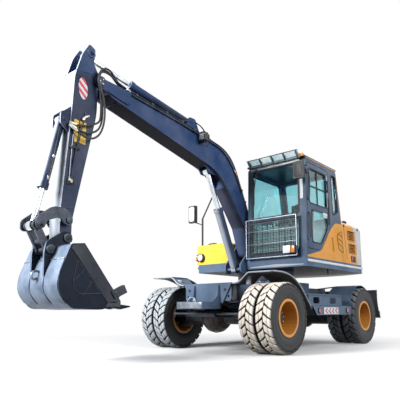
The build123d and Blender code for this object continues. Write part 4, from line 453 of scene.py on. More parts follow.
# ---- The finishes --------------------------------------------------------------------------------
FINISHES = {
    # Deep blue gloss enamel, with painted brown shade on the undersides
    "boom_enamel": lambda name: enamel(name, colours().boom, gloss=0.28, shade_under=0.8, dust_amount=0.2),
    # Navy enamel that turns to the boom's blue at the ears, with a painted sheen on the faces that look forward
    "arm_enamel": lambda name: enamel(
        name, colours().arm, dust_amount=0.08, beyond=((0.098, 0.0, 0.995), 3.287, colours().boom), painted_front_sheen=0.62
    ),
    # Slate-blue gloss enamel, kept cleaner than the chassis
    "cab_enamel": lambda name: enamel(name, colours().cab, gloss=0.26, dust_amount=0.2),
    # The same slate a shade paler and duller, dusty up to 1.1 m, with painted brown shade underneath
    "chassis_enamel": lambda name: enamel(
        name, colours().chassis, gloss=0.34, dust_top=1.1, dust_amount=0.45, shade_under=0.85
    ),
    # Orange gloss enamel, patchy with sun
    "hood_enamel": lambda name: enamel(name, colours().hood, gloss=0.26, dust_amount=0.15),
    # The same orange, masked off along a slanting line where the tail's pale grey begins
    "hood_and_tail_enamel": lambda name: enamel(
        name, colours().hood, gloss=0.26, dust_amount=0.15, beyond=((-1.0, 0.0, 0.21), 2.4666, colours().tail)
    ),
    # Lemon-yellow gloss enamel
    "tank_enamel": lambda name: enamel(name, colours().tank, gloss=0.24, dust_amount=0.15),
    # Pale grey satin enamel over cast iron
    "tail_enamel": lambda name: enamel(name, colours().tail, gloss=0.34, dust_amount=0.2),
    # Black satin enamel, greyed by dust
    "black_enamel": lambda name: enamel(name, linear("#15171C"), gloss=0.32, dust_amount=0.4),
    # Slate enamel made pale as a painted highlight, for edges, beads and tubes
    "highlight_slate_enamel": lambda name: enamel(name, toned(colours().chassis, 0.4, "#FFFFFF"), dust_amount=0.2),
    # Blue-black enamel gone matt, for welded ribs on the bucket
    "dark_enamel": lambda name: enamel(name, linear("#1D2838"), gloss=0.4, dust_amount=0.05),
    # Orange enamel in the shade of a pressing
    "shaded_hood_enamel": lambda name: enamel(name, toned(colours().hood, 0.62), gloss=0.4, dust_amount=0.2),
    # Slate-black enamel under dry pale earth
    "blade_enamel": lambda name: enamel(name, linear("#39414F"), gloss=0.4, dust_amount=0.9, dust="#A8A299"),
    # Hard-chromed rod, mirror-bright with lengthwise wiping marks
    "hard_chrome": lambda name: surface(name, "#C9D2DA", "#EEF2F5", 9.0, 0.08, 0.14, 60.0, 0.03, Metallic=1.0),
    # Zinc-plated fittings and bolts, pale and slightly yellow in patches
    "zinc_plate": lambda name: surface(name, "#A7A79B", "#D6D6CF", 40.0, 0.25, 0.25, 220.0, 0.12, Metallic=0.9),
    # Forged link steel, dark grey and worn pale
    "forged_steel": lambda name: surface(name, "#1B202A", "#454E5C", 12.0, 0.3, 0.3, 150.0, 0.25, Metallic=0.45),
    # Steel scoured bare by earth, dull silver
    "ground_steel": lambda name: surface(name, "#6D7681", "#A4ABB4", 14.0, 0.26, 0.25, 180.0, 0.12, Metallic=0.85),
    # Extruded rubber hose, black and faintly ribbed
    "hose_rubber": lambda name: surface(name, "#0D0E11", "#22242A", 30.0, 0.4, 0.25, 260.0, 0.25),
    # EPDM window rubber, black and quite matt
    "gasket_rubber": lambda name: surface(name, "#0A0B0D", "#1B1C20", 20.0, 0.5, 0.2, 200.0, 0.2),
    # Injection-moulded ABS with a leather grain of 4 mm, black and then grey
    "black_moulding": lambda name: surface(name, "#121317", "#24262C", 25.0, 0.42, 0.2, 250.0, 0.3),
    "grey_moulding": lambda name: surface(name, "#7C8288", "#A5ABB0", 25.0, 0.42, 0.2, 250.0, 0.3),
    # Grey primer and soot on the engine's castings
    "sooty_iron": lambda name: surface(name, "#26282B", "#4A4C4E", 10.0, 0.5, 0.3, 120.0, 0.5, Metallic=0.3),
    # Polycarbonate lenses: clear over a bright reflector, amber and red
    "clear_lens": lambda name: surface(name, "#D9E0E6", "#FFFFFF", 60.0, 0.08, 0.1, 160.0, 0.6, Coat_Weight=1.0),
    "amber_lens": lambda name: surface(name, "#D96A12", "#F79A2E", 60.0, 0.12, 0.1, 200.0, 0.4, Coat_Weight=0.8),
    "red_lens": lambda name: surface(name, "#8E0F14", "#D9232B", 60.0, 0.12, 0.1, 200.0, 0.4, Coat_Weight=0.8),
    # Silvered mirror glass
    "mirror_silver": lambda name: surface(name, "#D8DEE2", "#F2F5F7", 3.0, 0.02, 0.03, 5.0, 0.0, Metallic=1.0),
    # Off-white satin paint on strips and headers
    "pale_trim": lambda name: surface(name, "#C9D3DA", "#EDF1F3", 12.0, 0.3, 0.2, 180.0, 0.15),
    # Yellow vinyl label film
    "yellow_sheeting": lambda name: surface(name, "#E8B51A", "#FFD43A", 30.0, 0.35, 0.2, 250.0, 0.15),
    # Cast acrylic sheet, clear with a cyan cast
    "cyan_acrylic": lambda name: surface(
        name, "#A9CCD6", "#EAF5F7", 5.0, 0.12, 0.15, 60.0, 0.05, Transmission_Weight=0.8
    ),
    "bucket_plate": bucket_plate,
    "seat_weave": seat_weave,
    "safety_glass": lambda name: safety_glass(name, (*colours().glass, 1.0)),
    "oily_front_axle": lambda name: oily_axle(name, middle("steering_cylinder") - Vector((0.25, 0.04, 0.048)), 0.25),
    "oily_rear_axle": lambda name: oily_axle(name, middle("rear_axle"), 0.2),
    "arm_sticker_film": lambda name: striped_sheeting(name, "#E4142C", "#F4F3F8", 0.082, -0.85, at(3374, 0, 2888)),
}


def finish(name):
    """The finish of that name, mixed the first time that it is asked for."""
    return bpy.data.materials.get(name) or FINISHES[name](name)


# ---- Modelling ------------------------------------------------------------------------------------
SIDES = (-1, 1)


def deselect():
    """Selects nothing, so that the next operator acts on its own piece alone."""
    for item in bpy.context.selected_objects:
        item.select_set(False)


def take(piece):
    """Selects one piece and makes it the active one."""
    deselect()
    piece.select_set(True)
    bpy.context.view_layer.objects.active = piece


def modify(piece, kind, **settings):
    """Adds a modifier and applies it."""
    take(piece)
    modifier = piece.modifiers.new(kind.lower(), kind)
    for name, value in settings.items():
        setattr(modifier, name, value)
    bpy.ops.object.modifier_apply(modifier=modifier.name)


def open_mesh():
    """Goes into the active piece's mesh with all of it selected."""
    bpy.ops.object.mode_set(mode="EDIT")
    bpy.ops.mesh.select_all(action="SELECT")


def close_mesh(merge=False):
    """Merges what lies double if asked, turns every face outwards and leaves the mesh."""
    bpy.ops.mesh.select_all(action="SELECT")
    if merge:
        bpy.ops.mesh.remove_doubles(threshold=0.00002)
    bpy.ops.mesh.normals_make_consistent(inside=False)
    bpy.ops.object.mode_set(mode="OBJECT")


def keep(piece, name, edge=1.5, smooth=35.0):
    """Names a new piece, lays its place into its mesh, breaks its edges by some millimetres and shades it."""
    take(piece)
    bpy.ops.object.transform_apply(location=True, rotation=True, scale=True)
    piece.name = name
    piece.data.name = name
    if edge:
        modify(piece, "BEVEL", width=edge / 1000, segments=2, limit_method="ANGLE", angle_limit=math.radians(40))
    bpy.ops.object.shade_smooth_by_angle(angle=math.radians(smooth))
    return piece


def block(name, start, end, edge=2.0):
    """A box between two corners, with its edges broken."""
    deselect()
    first, last = at(*start), at(*end)
    size = [abs(a - b) for a, b in zip(first, last)]
    bpy.ops.mesh.primitive_cube_add(size=1, location=(first + last) / 2, scale=size)
    return keep(bpy.context.object, name, edge)


def rod(name, start, end, radius, sides=20, taper=1.0, edge=0.8):
    """A round bar between two places. Taper is the far end's radius over the near one's."""
    deselect()
    first, last = at(*start), at(*end)
    way = last - first
    bpy.ops.mesh.primitive_cone_add(
        vertices=sides,
        radius1=radius / 1000,
        radius2=radius * taper / 1000,
        depth=way.length,
        location=(first + last) / 2,
        rotation=way.to_track_quat("Z", "Y").to_euler(),
    )
    return keep(bpy.context.object, name, edge)


def across(axis, u, v, w):
    """The place with (u, v) on a plane across an axis and w along that axis."""
    return at(*{"X": (w, u, v), "Y": (u, w, v), "Z": (u, v, w)}[axis])


def rect(u0, u1, v0, v1):
    """The outline of a rectangle."""
    return [(u0, v0), (u1, v0), (u1, v1), (u0, v1)]


def plate(name, corners, axis, start, end, round_by=0.0, edge=1.5, ring=0.0):
    """A plate between two planes across an axis, from its outline. A ring width leaves only a frame of it."""
    deselect()
    bpy.ops.mesh.primitive_circle_add(vertices=len(corners), fill_type="NGON")
    piece = bpy.context.object
    for vertex, (u, v) in zip(piece.data.vertices, corners):
        vertex.co = across(axis, u, v, start)
    open_mesh()
    if round_by:
        bpy.ops.mesh.bevel(offset=round_by / 1000, segments=5, affect="VERTICES")
        bpy.ops.mesh.select_all(action="SELECT")
    if ring:
        bpy.ops.mesh.inset(thickness=ring / 1000)
        bpy.ops.mesh.delete(type="FACE")
        bpy.ops.mesh.select_all(action="SELECT")
    way = across(axis, 0, 0, end) - across(axis, 0, 0, start)
    bpy.ops.mesh.extrude_region_move(TRANSFORM_OT_translate={"value": way})
    close_mesh()
    return keep(piece, name, edge)


def smooth_line(points, radius, cyclic=False):
    """A smooth curve object through the control places, round if it has a radius."""
    deselect()
    bpy.ops.curve.primitive_nurbs_path_add()
    piece = bpy.context.object
    piece.data.splines.clear()
    spline = piece.data.splines.new("NURBS")
    spline.points.add(len(points) - 1)
    for point, place in zip(spline.points, points):
        point.co = (*at(*place), 1.0)
    spline.order_u = 3
    spline.use_endpoint_u = not cyclic
    spline.use_cyclic_u = cyclic
    spline.resolution_u = 6
    piece.data.bevel_depth = radius
    piece.data.bevel_resolution = 3
    piece.data.use_fill_caps = True
    return piece


def pipe(name, points, radius, cyclic=False):
    """A round tube along a smooth line."""
    piece = smooth_line(points, radius, cyclic)
    take(piece)
    bpy.ops.object.convert(target="MESH")
    open_mesh()
    close_mesh(merge=True)
    return keep(piece, name, edge=0, smooth=60)


def on_both_sides(name, corners, face, proud, **shape):
    """The same plate on the machine's left and right, standing proud of a face that is so far from the middle."""
    return [plate(name, corners, "Y", way * (face - 1), way * (face + proud), **shape) for way in SIDES]


def bent_plate(name, points, y_start, y_end, wall):
    """A plate of even wall, bent along a smooth line in the (x, z) plane and as wide as it runs along Y."""
    piece = smooth_line([(x, y_start, z) for x, z in points], 0)
    take(piece)
    bpy.ops.object.convert(target="MESH")
    open_mesh()
    way = (0, (y_end - y_start) / 1000, 0)
    bpy.ops.mesh.extrude_region_move(TRANSFORM_OT_translate={"value": way})
    bpy.ops.object.mode_set(mode="OBJECT")
    modify(piece, "SOLIDIFY", thickness=wall / 1000, offset=0)
    open_mesh()
    close_mesh()
    return keep(piece, name, edge=1.0)


def spun(name, profile, steps, edge=0.0):
    """A ring turned about the Y axis through the origin, from a closed profile of (radius, y) in millimetres."""
    deselect()
    bpy.ops.mesh.primitive_circle_add(vertices=len(profile))
    piece = bpy.context.object
    for vertex, (radius, y) in zip(piece.data.vertices, profile):
        vertex.co = (radius / 1000, y / 1000, 0)
    open_mesh()
    bpy.ops.mesh.spin(steps=steps, angle=2 * math.pi, center=(0, 0, 0), axis=(0, 1, 0))
    close_mesh(merge=True)
    return keep(piece, name, edge)


def coat(piece, finish_name):
    """Gives a piece one finish."""
    piece.data.materials.clear()
    piece.data.materials.append(finish(finish_name))
    return piece


def joined(name, pieces):
    """Joins pieces into the first one."""
    take(pieces[0])
    for piece in pieces[1:]:
        piece.select_set(True)
    bpy.ops.object.join()
    pieces[0].name = name
    pieces[0].data.name = name
    return pieces[0]


def shift(x=0.0, y=0.0, z=0.0):
    """A move by millimetres."""
    return Matrix.Translation(Vector((x, y, z)) / 1000)


def turn_about(centre, axis, degrees):
    """A turn about an axis through a place in metres."""
    return Matrix.Translation(centre) @ Matrix.Rotation(math.radians(degrees), 4, axis) @ Matrix.Translation(-centre)


MIRROR = Matrix.Scale(-1, 4, (0, 1, 0))
STAY = Matrix.Identity(4)


def spare(piece):
    """A copy of a piece with its own mesh."""
    copy = piece.copy()
    copy.data = piece.data.copy()
    bpy.context.collection.objects.link(copy)
    return copy


def repeated(name, piece, moves):
    """Copies a piece by each move, every copy with its own mesh, and joins the copies."""
    copies = []
    for move in moves:
        copy = spare(piece)
        copy.data.transform(move)
        if move.determinant() < 0:
            copy.data.flip_normals()
        copies.append(copy)
    bpy.data.objects.remove(piece)
    return joined(name, copies)


def fit(piece, body, finish_name=None):
    """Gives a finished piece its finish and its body."""
    if finish_name:
        coat(piece, finish_name)
    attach(piece, body)
    return piece


def outward(side):
    """The axis that points away from the machine on its left (1) or right (-1)."""
    return "Y" if side > 0 else "-Y"


def bolts(name, places, axis, radius=None, height=8.0):
    """Hexagon bolts with washers on a face across an axis, at each (x, y, z), standing out along the axis's sign."""
    across_corners = radius or sizes().bolt_radius * 1000
    x, y, z = places[0]
    step = Vector({"X": (1, 0, 0), "Y": (0, 1, 0), "Z": (0, 0, 1)}[axis[-1]]) * (-1 if axis[0] == "-" else 1)
    foot = Vector((x, y, z)) - step
    washer = rod(name + "_washer", foot, foot + step * 3.5, across_corners * 1.3, sides=16, edge=0.5)
    head = rod(name + "_head", foot, foot + step * (height + 2), across_corners, sides=6, edge=0.8)
    bolt = joined(name + "_one", [washer, head])
    moves = [shift(a - x, b - y, c - z) for a, b, c in places]
    return coat(repeated(name, bolt, moves), "zinc_plate")


class Undoable:
    """What every operator here shares: it can be redone and undone."""

    bl_options = {"REGISTER", "UNDO"}


# ---- The frame's finishes --------------------------------------------------------------------------
NODE_FINISHES = {
    "boom": "boom_enamel",
    "arm": "arm_enamel",
    "arm_cylinder_barrel": "arm_enamel",
    "bucket_cylinder_barrel": "arm_enamel",
    "boom_cylinder_barrel": "arm_enamel",
    "blade_cylinder_barrel": "black_enamel",
    "arm_cylinder_rod": "hard_chrome",
    "boom_cylinder_rod": "hard_chrome",
    "bucket_cylinder_rod": "hard_chrome",
    "blade_cylinder_rod": "hard_chrome",
    "steering_rod": "forged_steel",
    "boom_bracket": "chassis_enamel",
    "chassis_frame": "chassis_enamel",
    "deck": "chassis_enamel",
    "fender_and_step_left": "chassis_enamel",
    "fender_and_step_right": "chassis_enamel",
    "blade_lower_links": "black_enamel",
    "blade_upper_links": "black_enamel",
    "dozer_blade": "blade_enamel",
    "bucket": "bucket_plate",
    "guide_links": "forged_steel",
    "connecting_link": "forged_steel",
    "front_axle": "oily_front_axle",
    "rear_axle": "oily_rear_axle",
    "gearbox_and_shafts": "forged_steel",
    "steering_cylinder": "forged_steel",
    "knuckle_left": "oily_front_axle",
    "knuckle_right": "oily_front_axle",
    "slew_bearing": "forged_steel",
    "cab_frame": "cab_enamel",
    "cab_roof": "cab_enamel",
    "cab_door": "cab_enamel",
    "cab_lower_panel": "hood_enamel",
    "engine_hood": "hood_and_tail_enamel",
    "engine": "sooty_iron",
    "tank_box": "tank_enamel",
    "counterweight": "tail_enamel",
    "cab_glass": "safety_glass",
    "cab_door_glass": "safety_glass",
    "steering_column": "black_moulding",
    "mirrors": "black_moulding",
    "front_lamps": "black_moulding",
    "step_lamps": "red_lens",
    "visor": "cyan_acrylic",
    "visor_stays": "black_enamel",
    "window_guard": "black_enamel",
}


class FinishFrame(Undoable, bpy.types.Operator):
    """Paints, plates and glazes the parts of the frame that show."""

    bl_idname = "excavator.finish_frame"
    bl_label = "Finish the frame"

    def execute(self, context):
        for node, name in NODE_FINISHES.items():
            coat(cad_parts[node], name)
        for axle, side in WHEELS:
            centre = middle(f"rims_{axle}_{side}")
            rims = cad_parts[f"rims_{axle}_{side}"]
            rims.data.materials.clear()
            rims.data.materials.append(wheel_enamel(f"rim_enamel_{axle}_{side}", centre, colours().rim))
        return {"FINISHED"}


# ---- Wheels ------------------------------------------------------------------------------------------
TYRE_PROFILE = [
    (207.6, -80.0),
    (231.0, -86.8),
    (246.0, -96.0),
    (282.0, -107.0),
    (318.0, -111.8),
    (330.0, -109.5),
    (352.0, -109.0),
    (358.0, -111.0),
    (372.0, -110.0),
    (390.0, -103.0),
    (397.0, -92.0),
    (400.0, -40.0),
    (400.5, 0.0),
]
LUG_SLANT = 64.0
TREAD_TIP = 429.4
TREAD_BASE = 394.0


def half_lug(name, y_near, y_far, length_near, length_far, shoulder_drop):
    """One tread block of the row on the +Y side, wrapped round the tyre at its top."""
    deselect()
    bpy.ops.mesh.primitive_cube_add(size=1)
    piece = bpy.context.object
    open_mesh()
    bpy.ops.mesh.subdivide(number_cuts=1)
    bpy.ops.object.mode_set(mode="OBJECT")
    for vertex in piece.data.vertices:
        u, v, w = vertex.co
        y = y_near + (v + 0.5) * (y_far - y_near)
        length = length_near + (v + 0.5) * (length_far - length_near)
        lean = LUG_SLANT * ((y - 57) / 100) * (1.25 if y < 57 else 1.0)
        tip = TREAD_TIP - shoulder_drop * max(0.0, (y - 85) / 22) ** 2
        radius = TREAD_BASE + (w + 0.5) * (tip - TREAD_BASE)
        turn = (u * length * (1.0 if w > 0 else 1.12) + lean) / TREAD_TIP
        vertex.co = (radius * math.sin(turn) / 1000, y / 1000, radius * math.cos(turn) / 1000)
    return keep(piece, name, edge=2.5, smooth=30)


def tyre(name):
    """One tyre about the Y axis: a turned casing with ribs on its walls and two rows of slanting, split lugs."""
    outline = TYRE_PROFILE + [(radius, -y) for radius, y in reversed(TYRE_PROFILE[:-1])]
    casing = spun(name + "_casing", outline, 72)
    inner = half_lug(name + "_inner_lug", 7.0, 52.0, 74.0, 82.0, 0)
    outer = half_lug(name + "_outer_lug", 58.0, 107.0, 82.0, 90.0, 14.0)
    lug = joined(name + "_lug", [inner, outer])
    pitch = 360 / sizes().lugs_per_row
    moves = []
    for n in range(sizes().lugs_per_row):
        moves.append(Matrix.Rotation(math.radians(pitch * n), 4, "Y"))
        # The other row is the same one turned end for end, and stands half a pitch on
        moves.append(Matrix.Rotation(math.radians(pitch * (n + 0.5)), 4, "Y") @ MIRROR)
    lugs = repeated(name + "_lugs", lug, moves)
    return joined(name, [casing, lugs])


class MakeTyres(Undoable, bpy.types.Operator):
    """Moulds the eight tyres and puts them on the wheels in pairs."""

    bl_idname = "excavator.make_tyres"
    bl_label = "Tyres"

    def execute(self, context):
        pattern = tyre("tyre_pattern")
        # The tread's tone per wheel is partly dust and partly painted light: bright cream as a painted highlight on
        # the lit front-left pair, grey-blue painted shade on the far front-right pair, and dark painted shade on the
        # rear pairs
        dust = {"front": "#F4EADC", "rear": "#73797F"}
        for axle, side in WHEELS:
            node = f"tyres_{axle}_{side}"
            centre = middle(node)
            half = (high(node).y - low(node).y) / 2
            offset = half - 0.1125
            handed = Matrix.Rotation(0 if side == "left" else math.pi, 4, "Z")
            moves = []
            for sign, phase in ((-1, 0.0), (1, 5.0)):
                place = Matrix.Translation(centre + Vector((0, sign * offset, 0)))
                moves.append(place @ handed @ Matrix.Rotation(math.radians(phase), 4, "Y"))
            pair = repeated(f"tyre_pair_{axle}_{side}", spare(pattern), moves)
            tone = dust[axle] if (axle, side) != ("front", "right") else "#B4BBC0"
            pair.data.materials.clear()
            pair.data.materials.append(rubber_with_dust_and_light(f"tread_rubber_{axle}_{side}", centre, tone))
            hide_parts(node)
            fit(pair, f"wheel_{axle}_{side}")
        bpy.data.objects.remove(pattern)
        return {"FINISHED"}


class MakeWheelNuts(Undoable, bpy.types.Operator):
    """Puts the wheel nuts, the hub's end cover with its screws and a ring on each outer rim."""

    bl_idname = "excavator.make_wheel_nuts"
    bl_label = "Wheel nuts and hub covers"

    def execute(self, context):
        hub = middle("rims_front_left")
        x, z = (hub.x - WHEELBASE_MIDDLE) * 1000, hub.z * 1000
        disc, cap = 859 + 12, 859 + 96
        nut = rod("nut", (x + 138, disc - 2, z), (x + 138, disc + 20, z), 17, sides=6, edge=1.5)
        stud = rod("stud", (x + 138, disc, z), (x + 138, disc + 32, z), 10, sides=12)
        nuts = repeated(
            "nuts", joined("nut_and_stud", [nut, stud]), [turn_about(hub, "Y", 36 * n) for n in range(10)]
        )
        coat(nuts, "ground_steel")
        cover = spun("hub_cover", [(0, -3), (64, -3), (64, 5), (56, 9), (30, 9), (24, 14), (0, 14)], 32)
        cover.data.transform(Matrix.Translation(Vector((hub.x, cap / 1000, hub.z))))
        coat(cover, "black_enamel")
        screw = bolts("hub_screw", [(x + 78, cap, z)], "Y", radius=7, height=6)
        screws = repeated("hub_screws", screw, [turn_about(hub, "Y", 45 * n + 10) for n in range(8)])
        ring = spun("hub_ring", [(96, -6), (112, -6), (112, 8), (106, 14), (96, 14)], 40)
        ring.data.transform(Matrix.Translation(Vector((hub.x, disc / 1000, hub.z))))
        coat(ring, "black_enamel")
        dress = joined("wheel_dress", [nuts, cover, screws, ring])
        for axle, side in WHEELS:
            away = Matrix.Translation(Vector((middle(f"rims_{axle}_{side}").x - hub.x, 0, 0)))
            move = away if side == "left" else MIRROR @ away
            piece = repeated(f"nuts_{axle}_{side}", spare(dress), [move])
            fit(piece, f"wheel_{axle}_{side}")
        bpy.data.objects.remove(dress)
        return {"FINISHED"}


# ---- Boom ---------------------------------------------------------------------------------------------
# The boom's back line from its foot over the bend to its tip, with the control places of the bend
BOOM_BACK = [
    (270, 1770), (350, 1930), (527, 2282), (800, 2825), (1401, 2918), (1750, 2972), (2300, 3031), (2720, 3074)
]
# The straight runs of the pipes that clamps hold, in x and z
CLAMPED_RUNS = (((350, 1930), (560, 2349)), ((1300, 2903), (1900, 2988)), ((2050, 3004), (2700, 3072)))
# The loose hose over the bend, as x, the distance left of the boom's middle, and z
LOOP_HOSE = (
    (1985, 62, 3030), (1900, 64, 3022), (1760, 72, 3050), (1600, 84, 3092), (1440, 88, 3080),
    (1330, 88, 2996), (1240, 84, 2935), (1130, 82, 2912), (1040, 82, 2890),
)


def off_line(points, distance):
    """A line of (x, z) places moved out on its left side, mitred at its corners."""
    places = [Vector(place) for place in points]
    moved = []
    for n, here in enumerate(places):
        near = places[max(n - 1, 0) : n + 2]
        ways = [(b - a).normalized() for a, b in zip(near, near[1:])]
        normals = [Vector((-way.y, way.x)) for way in ways]
        normal = sum(normals, Vector((0, 0))).normalized()
        stretch = 1 / max(0.5, normal.dot(normals[0]))
        moved.append(tuple(here + normal * distance * stretch))
    return moved


class LayBoomPipes(Undoable, bpy.types.Operator):
    """Lays the steel pipes along the boom's back with their clamps, and the loose hose over the bend."""

    bl_idname = "excavator.lay_boom_pipes"
    bl_label = "Boom pipes and clamps"

    def execute(self, context):
        radius = sizes().pipe_radius
        tubes = []
        line = off_line(BOOM_BACK, 17)
        for n, side in enumerate((112, 92, 71)):
            tubes.append(pipe(f"boom_pipe_{n}", [(x, BOOM_MIDDLE + side, z) for x, z in line], radius))
        side_line = [(x, BOOM_LEFT + 13, z) for x, z in off_line(BOOM_BACK[2:], -32)]
        tubes.append(pipe("boom_pipe_side", side_line, radius * 1.15))
        fit(joined("boom_pipes", tubes), "boom", "black_enamel")
        clamps = []
        for n, share in enumerate((0.12, 0.5, 0.9)):
            for (x0, z0), (x1, z1) in CLAMPED_RUNS:
                x, z = x0 + (x1 - x0) * share, z0 + (z1 - z0) * share
                slope = math.degrees(math.atan2(z1 - z0, x1 - x0))
                y = BOOM_MIDDLE + 91
                bar = block(f"clamp_{n}", (x - 14, y - 36, z + 2), (x + 14, y + 36, z + 32), edge=3)
                bar.data.transform(turn_about(at(x, y, z), "Y", -slope))
                clamps.append(bar)
        coat(joined("boom_clamps", clamps), "black_moulding")
        fit(clamps[0], "boom")
        loop = [(x, BOOM_MIDDLE + side, z) for x, side, z in LOOP_HOSE]
        fit(pipe("boom_loop_hose", loop, sizes().hose_radius * 0.8), "boom", "hose_rubber")
        return {"FINISHED"}


class MakeBoomLamp(Undoable, bpy.types.Operator):
    """Builds the square work lamp on the boom's left side, with its bracket, rear fins and cable."""

    bl_idname = "excavator.make_boom_lamp"
    bl_label = "Boom work lamp"

    def execute(self, context):
        x, z = 1500, 2868
        y0, y1 = BOOM_LEFT + 14, BOOM_LEFT + 130
        body = block("lamp_body", (x - 40, y0, z - 58), (x + 30, y1, z + 58), edge=8)
        rear = block("lamp_rear", (x - 78, y0 + 16, z - 40), (x - 38, y1 - 16, z + 40), edge=10)
        fin_places = [y0 + 22 + 18 * k for k in range(5)]
        fins = [block("fin", (x - 82, y, z - 46), (x - 40, y + 6, z + 46), 1) for y in fin_places]
        outline = rect(y0 - 4, y1 + 4, z - 62, z + 62)
        rim = plate("lamp_rim", outline, "X", x + 28, x + 44, round_by=14, ring=16)
        foot, shelf = (BOOM_LEFT - 2, BOOM_LEFT + 8), y1 - 20
        angle = [
            (foot[0], z - 76),
            (shelf, z - 76),
            (shelf, z - 68),
            (foot[1], z - 68),
            (foot[1], z + 10),
            (foot[0], z + 10),
        ]
        bracket = plate("lamp_bracket", angle, "X", x - 30, x + 24)
        y = (y0 + y1) / 2
        post = rod("lamp_post", (x - 5, y, z - 84), (x - 5, y, z - 52), 11)
        shell = coat(joined("boom_lamp", [body, rear, *fins, rim, bracket, post]), "black_moulding")
        outline = rect(y0 + 10, y1 - 10, z - 46, z + 46)
        lens = coat(plate("boom_lamp_lens", outline, "X", x + 28, x + 38, round_by=8, edge=3), "clear_lens")
        fit(joined("boom_work_lamp", [shell, lens]), "boom")
        slack = ((-60, 50, -30), (-100, 40, -90), (-190, 10, -60), (-260, 8, 20))
        cable = [(x + along, BOOM_LEFT + out, z + up) for along, out, up in slack]
        fit(pipe("boom_lamp_cable", cable, 0.005), "boom", "hose_rubber")
        return {"FINISHED"}


class TrimBoom(Undoable, bpy.types.Operator):
    """Adds the boom's weld seams and pads, cheek rails, pin covers and side reflector."""

    bl_idname = "excavator.trim_boom"
    bl_label = "Boom trim"

    def execute(self, context):
        seams = [
            rod("under_seam", (2912, BOOM_MIDDLE - 118, 2890), (2912, BOOM_MIDDLE + 118, 2890), 6),
            rod("cheek_seam", (2884, BOOM_LEFT, 2905), (2884, BOOM_LEFT, 3072), 5),
            rod("crank_seam", (1190, BOOM_LEFT, 2600), (1010, BOOM_LEFT, 2820), 4),
        ]
        for side in SIDES:
            y = BOOM_MIDDLE + side * 127
            seams.append(rod("cheek_rail", (3060, y, 2962), (2770, y, 2905), 11))
            y = BOOM_MIDDLE + side * 121
            for x0, z0, x1, z1 in ((2900, 3046, 2975, 3052), (2680, 3026, 2745, 3036)):
                seams.append(rod("pad", (x0, y, z0), (x1, y, z1), 7))
        fit(joined("boom_seams", seams), "boom", "boom_enamel")
        covers = []
        for side in SIDES:
            near, far = BOOM_MIDDLE + side * 139, BOOM_MIDDLE + side * 148
            cover = rod("tip_cover", (3161, near, 3042), (3161, far, 3042), 46, sides=32, edge=3)
            ring = [(3161 + 28 * u, far, 3042 + 28 * w) for u, w in ((1, 0), (-0.5, 0.87), (-0.5, -0.87))]
            screws = bolts("tip_bolts", ring, outward(side), radius=6, height=5)
            covers.extend([coat(cover, "forged_steel"), screws])
        fit(joined("boom_tip_covers", covers), "boom")
        outline = [(655, 2520), (700, 2520), (728, 2590), (683, 2590)]
        reflector = plate("boom_reflector", outline, "Y", BOOM_LEFT - 1, BOOM_LEFT + 5, round_by=8)
        fit(reflector, "boom", "amber_lens")
        return {"FINISHED"}


# ---- Arm --------------------------------------------------------------------------------------------------
class HangArmHoses(Undoable, bpy.types.Operator):
    """Hangs the hoses that loop from the boom's tip past the arm's side to the bucket cylinder."""

    bl_idname = "excavator.hang_arm_hoses"
    bl_label = "Arm hoses"

    def execute(self, context):
        radius = sizes().hose_radius
        for n, (out, dip, rise) in enumerate(((0, 0, 0), (24, 70, 14), (-2, -90, -20))):
            y, start_y = BOOM_MIDDLE + 158 + out, BOOM_MIDDLE + 71 + 21 * n
            route = [
                (2740, start_y, 3094),
                (2860, start_y, 3116),
                (2960, BOOM_MIDDLE + 96 + 18 * n, 3150 + rise),
                (3070, y - 20, 3196 + rise),
                (3190, y, 3170 + rise),
                (3236 + rise, y + 4, 3050),
                (3190, y + 4, 2900),
                (3150 - rise, y, 2740),
                (3150 - rise, y, 2560 - dip / 3),
                (3200, y, 2440 - dip),
                (3330, y - 6, 2372 - dip),
                (3440, y - 18, 2392 - dip / 2),
                (3520, BOOM_MIDDLE + 118, 2436 - dip / 5),
            ]
            hose = coat(pipe(f"arm_hose_{n}", route, radius), "hose_rubber")
            sleeve = rod(f"sleeve_{n}", (2742, start_y, 3095), (2800, start_y, 3103), 15)
            end = rod(f"end_{n}", (3452, y - 19, 2398 - dip / 2), (3524, BOOM_MIDDLE + 117, 2438 - dip / 5), 14)
            piece = joined(f"arm_hose_{n}", [hose, coat(sleeve, "zinc_plate"), coat(end, "zinc_plate")])
            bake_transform(piece)
        return {"FINISHED"}


